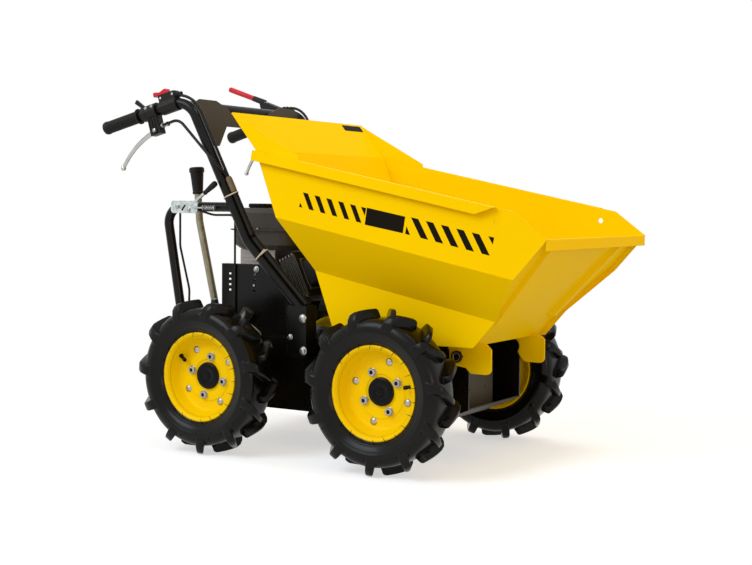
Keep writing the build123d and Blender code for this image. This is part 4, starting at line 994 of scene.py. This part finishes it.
latch_grip = [(53, 4.4), (53, 5.6), (54.5, 6.4), (58, 6.4), (59.5, 5.8), (74, 7), (92, 8.1),
    (102, 8.2), (105.4, 7), (106.8, 4.4), (107.2, 0)]
mesh = bmesh.new()
turned(mesh, knob, facing(knob_start, gear_up), 40)
turned(mesh, latch_grip, facing(latch_foot, latch_axis), 28)
knobs = keep(mesh, "gear_knob_and_latch_grip", "chassis", grip_skin, slot="black_plastic")
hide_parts("lever_knobs")

# %% [markdown]
# ## Frame bolts and linkage
# Plated bolts hold the handle sockets, the belt guard and the axles. A small
# grey block on the guard takes the gear link, a thin rod down to the deck.

# %% Frame bolts and linkage
socket_face, beam_top, flange_face, guard_face = -232, 335, -159.1, -150
flange_ring = 46
block_thick = 17
dome = [(0, 11.6), (1.2, 11.8), (3.2, 10.4), (5.2, 7.2), (6.2, 3.6), (6.4, 0)]
mesh = bmesh.new()
for flip in flips.values():
    turned(mesh, dome, flip @ facing((-42, socket_face, 364), TO_RIGHT), 28)
    bolt(mesh, flip @ facing((-82, socket_face, 313), TO_RIGHT, 0.2), 12)
    bolt(mesh, flip @ facing((-40, socket_face, 279), TO_RIGHT, 0.5), 17)
    bolt(mesh, flip @ facing((-439, -215, beam_top), UPWARD, 0.2), 13)
    for x in axle_x.values():
        for turn in (45, 135, 225, 315):
            a = radians(turn)
            at = Vector((x, 0, axle_z)) + around(flange_ring, a, flange_face)
            bolt(mesh, flip @ facing(at, TO_RIGHT, a), 11)
bolt(mesh, facing((-253.8, guard_face, 482.8), TO_RIGHT, 0.4), 13.5)
turned(mesh, [(0, 3.4), (1.4, 3.2), (2, 0)], facing((-262, guard_face, 438), TO_RIGHT), 14)
block = shift(-281, guard_face + 0.1, 359) @ Matrix.Rotation(radians(33), 4, "Y")
block = block @ Matrix.Rotation(radians(90), 4, "X")
plate(mesh, rounded(30, 29, 3), block, block_thick, 1)
bolt(mesh, block @ shift(0, 0, block_thick - 0.1), 11, 1)
rod(mesh, [(-300, -158, 350), (-246, -157, 318), (-236, -155, 309), (-236, -152, 303)], 2.3, 10, 2)
turned(mesh, [(0, 5.5), (2.4, 5.5), (3, 4.4), (3, 0)], facing((-300, -160.5, 350), TO_RIGHT), 18)
keep(mesh, "frame_bolts_and_link", "chassis", zinc, dash_skin, olive_rod, slot="bright_steel")

# %% [markdown]
# ## Tank cap and engine trim
# The fuel cap is a moulded disc with a knurled rim. The engine's cylinder carries thin cast fins,
# sprayed black, with a bright alloy rod along each fin's edge that paints the glint there. Between the
# CAD's fins a second set is laid, because the real ones stand closer.

# %% Fuel cap and tank tab
# height, radius, depth of the knurl
cap_line = [(-0.5, 29.5, 0), (1.4, 31, 0.2), (2.2, 32.6, 0.7), (9.6, 32.8, 0.7),
    (11.4, 31.4, 0.3), (12.3, 28.6, 0), (11.6, 24, 0), (11.6, 8, 0)]
knurl_steps = 96
tank_ledge, tab_thick = 588.2, 3.4
cap_place = facing((-320, -42, 651), UPWARD)
mesh = bmesh.new()
rings = []
for along, radius, knurl in cap_line:
    ring = []
    for k in range(knurl_steps):
        a = tau * k / knurl_steps
        reach = radius + knurl * (-1) ** k
        point = Vector((reach * cos(a), reach * sin(a), along))
        ring.append(mesh.verts.new(cap_place @ (point * MM)))
    rings.append(ring)
skin(mesh, rings)
mesh.faces.new(rings[-1])
cap_piece = keep(mesh, "knurled_fuel_cap", "chassis", switch_skin, slot="black_plastic")
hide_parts("fuel_cap")
mesh = bmesh.new()
plate(mesh, rounded(26, 30, 5), shift(-389, -62, tank_ledge), tab_thick)
for x, y in ((-392, -62), (-280, 108.6), (-280, -108.6)):
    bolt(mesh, facing((x, y, 591.8), UPWARD, 0.2), 9, 1)
keep(mesh, "tank_tab_and_screws", "chassis", tank_skin, zinc, slot="black_paint")

# %% Cylinder fins
crank_x, crank_z = -290, 411
cylinder_lean = radians(25)
shroud_front, fin_half, fin_gap, fin_pitch, fin_count = 45, 65, 6.5, 11, 5
head_length, head_cover = 50, 5
cylinder_way = Vector((cos(cylinder_lean), 0, sin(cylinder_lean)))
cylinder = shift(crank_x, 0, crank_z) @ axes(TO_LEFT, cylinder_way.cross(TO_LEFT), cylinder_way)
fins_from = shroud_front + fin_half * sin(cylinder_lean)
fin_start = fins_from / cos(cylinder_lean) + fin_gap
mesh = bmesh.new()
for step in range(fin_count):
    at = fin_start + fin_pitch * step
    for low, thick, grow in ((at - 0.4, 5.3, 1.2), (at + 6.9, 2.2, 0.2)):
        place = cylinder @ shift(0, 0, low)
        width = 2 * fin_half + grow
        plate(mesh, rounded(width, width, 9), place, thick)
        # a bright alloy rod along the fin's edge: a painted highlight
        edge = rounded(width + 0.6, width + 0.6, 9)
        rod(mesh, [place @ (Vector((x, y, thick)) * MM) / MM for x, y in edge + edge[:1]], 0.7, 6, 1)
head = cylinder @ shift(0, 0, fin_start + fin_count * fin_pitch - fin_gap + head_length)
plate(mesh, rounded(97.4, 85.4, 14.6), head @ shift(0, 0, -43), 43.6)
plate(mesh, rounded(90, 78, 12), head, head_cover)
for x, y in ((-34, -28), (34, -28), (-34, 28), (34, 28)):
    bolt(mesh, head @ shift(x, y, head_cover), 10, 2)
turned(mesh, [(4, 10), (9, 10), (10, 8), (22, 7.5), (24, 8.5), (38, 8.5), (41, 6), (42, 0)],
    head @ shift(14, 4, 0), 20)
for z in (503, 513, 523):
    plate(mesh, rounded(116, 3.4, 1.6), facing((-305, -74.8, z), TO_RIGHT), 3, 3)
keep(mesh, "cylinder_fins_and_head", "chassis", sprayed_alloy, fin_edge_glint_alloy, zinc, cast_alloy,
    slot="engine_metal")

# %% [markdown]
# ## Starter, muffler and air filter
# On the left the recoil starter has a pull handle and three screws, the muffler a pressed guard with
# slots that let heat out, and the air filter a cover with a wing nut. The slots are not cut: thin
# plates in the flat dark bore finish lie on the guard and paint the shade of the openings.

# %% Starter, muffler and air filter
starter_ring, starter_rim, starter_face = 93, 130.9, 154.9
guard_x, guard_y, guard_z, guard_thick = -125, 135.4, 445, 3.2
slot_count, slot_pitch = 7, 14
mesh = bmesh.new()
for turn in (30, 150, 270):
    a = radians(turn)
    at = Vector((crank_x, 0, crank_z)) + around(starter_ring, a, starter_rim)
    bolt(mesh, facing(at, TO_LEFT, a), 10, 2)
turned(mesh, [(0, 9), (8, 8.6), (9, 6), (12, 6)], facing((-232, 131, 470), TO_LEFT), 20)
rod(mesh, [(-250, 147, 478), (-241, 147.6, 474), (-232, 148, 470), (-223, 147.6, 466),
    (-214, 147, 462)], [5.2, 6.8, 7.4, 6.8, 5.2], 14)
turned(mesh, [(0, 30), (2, 30.4), (3.4, 28), (3.4, 12), (2.2, 10.6), (2.2, 0)],
    facing((crank_x, starter_face, crank_z), TO_LEFT), 40)
plate(mesh, rounded(112, 60, 12), facing((guard_x, guard_y, guard_z), TO_LEFT), guard_thick, 1)
# dark plates on the guard: painted shade where the slots would open
for k in range(slot_count):
    slot_x = guard_x + slot_pitch * (k - (slot_count - 1) / 2)
    slot_place = facing((slot_x, guard_y + guard_thick - 0.1, guard_z), TO_LEFT, pi / 2)
    plate(mesh, rounded(36, 6, 2.9), slot_place, 0.5, 3)
lid = shift(-124, 149.4, 536) @ along_axle
plate(mesh, rounded(96, 88, 17), lid, 5)
turned(mesh, [(4, 9), (8, 8.4), (9, 5), (13, 4.6), (13.6, 0)], lid, 20, 2)
plate(mesh, rounded(34, 6, 2.8), lid @ shift(0, 0, 9), 5, 2)
keep(mesh, "left_engine_covers", "chassis", switch_skin, sprayed_alloy, zinc, hole_shade,
    slot="engine_metal")

# %% [markdown]
# ## The dressed machine's size
# The box around the dressed machine, without the floor, is printed.

# %% Sizes and finish
low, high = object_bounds()
print("visual box", [round(v, 3) for v in high - low])
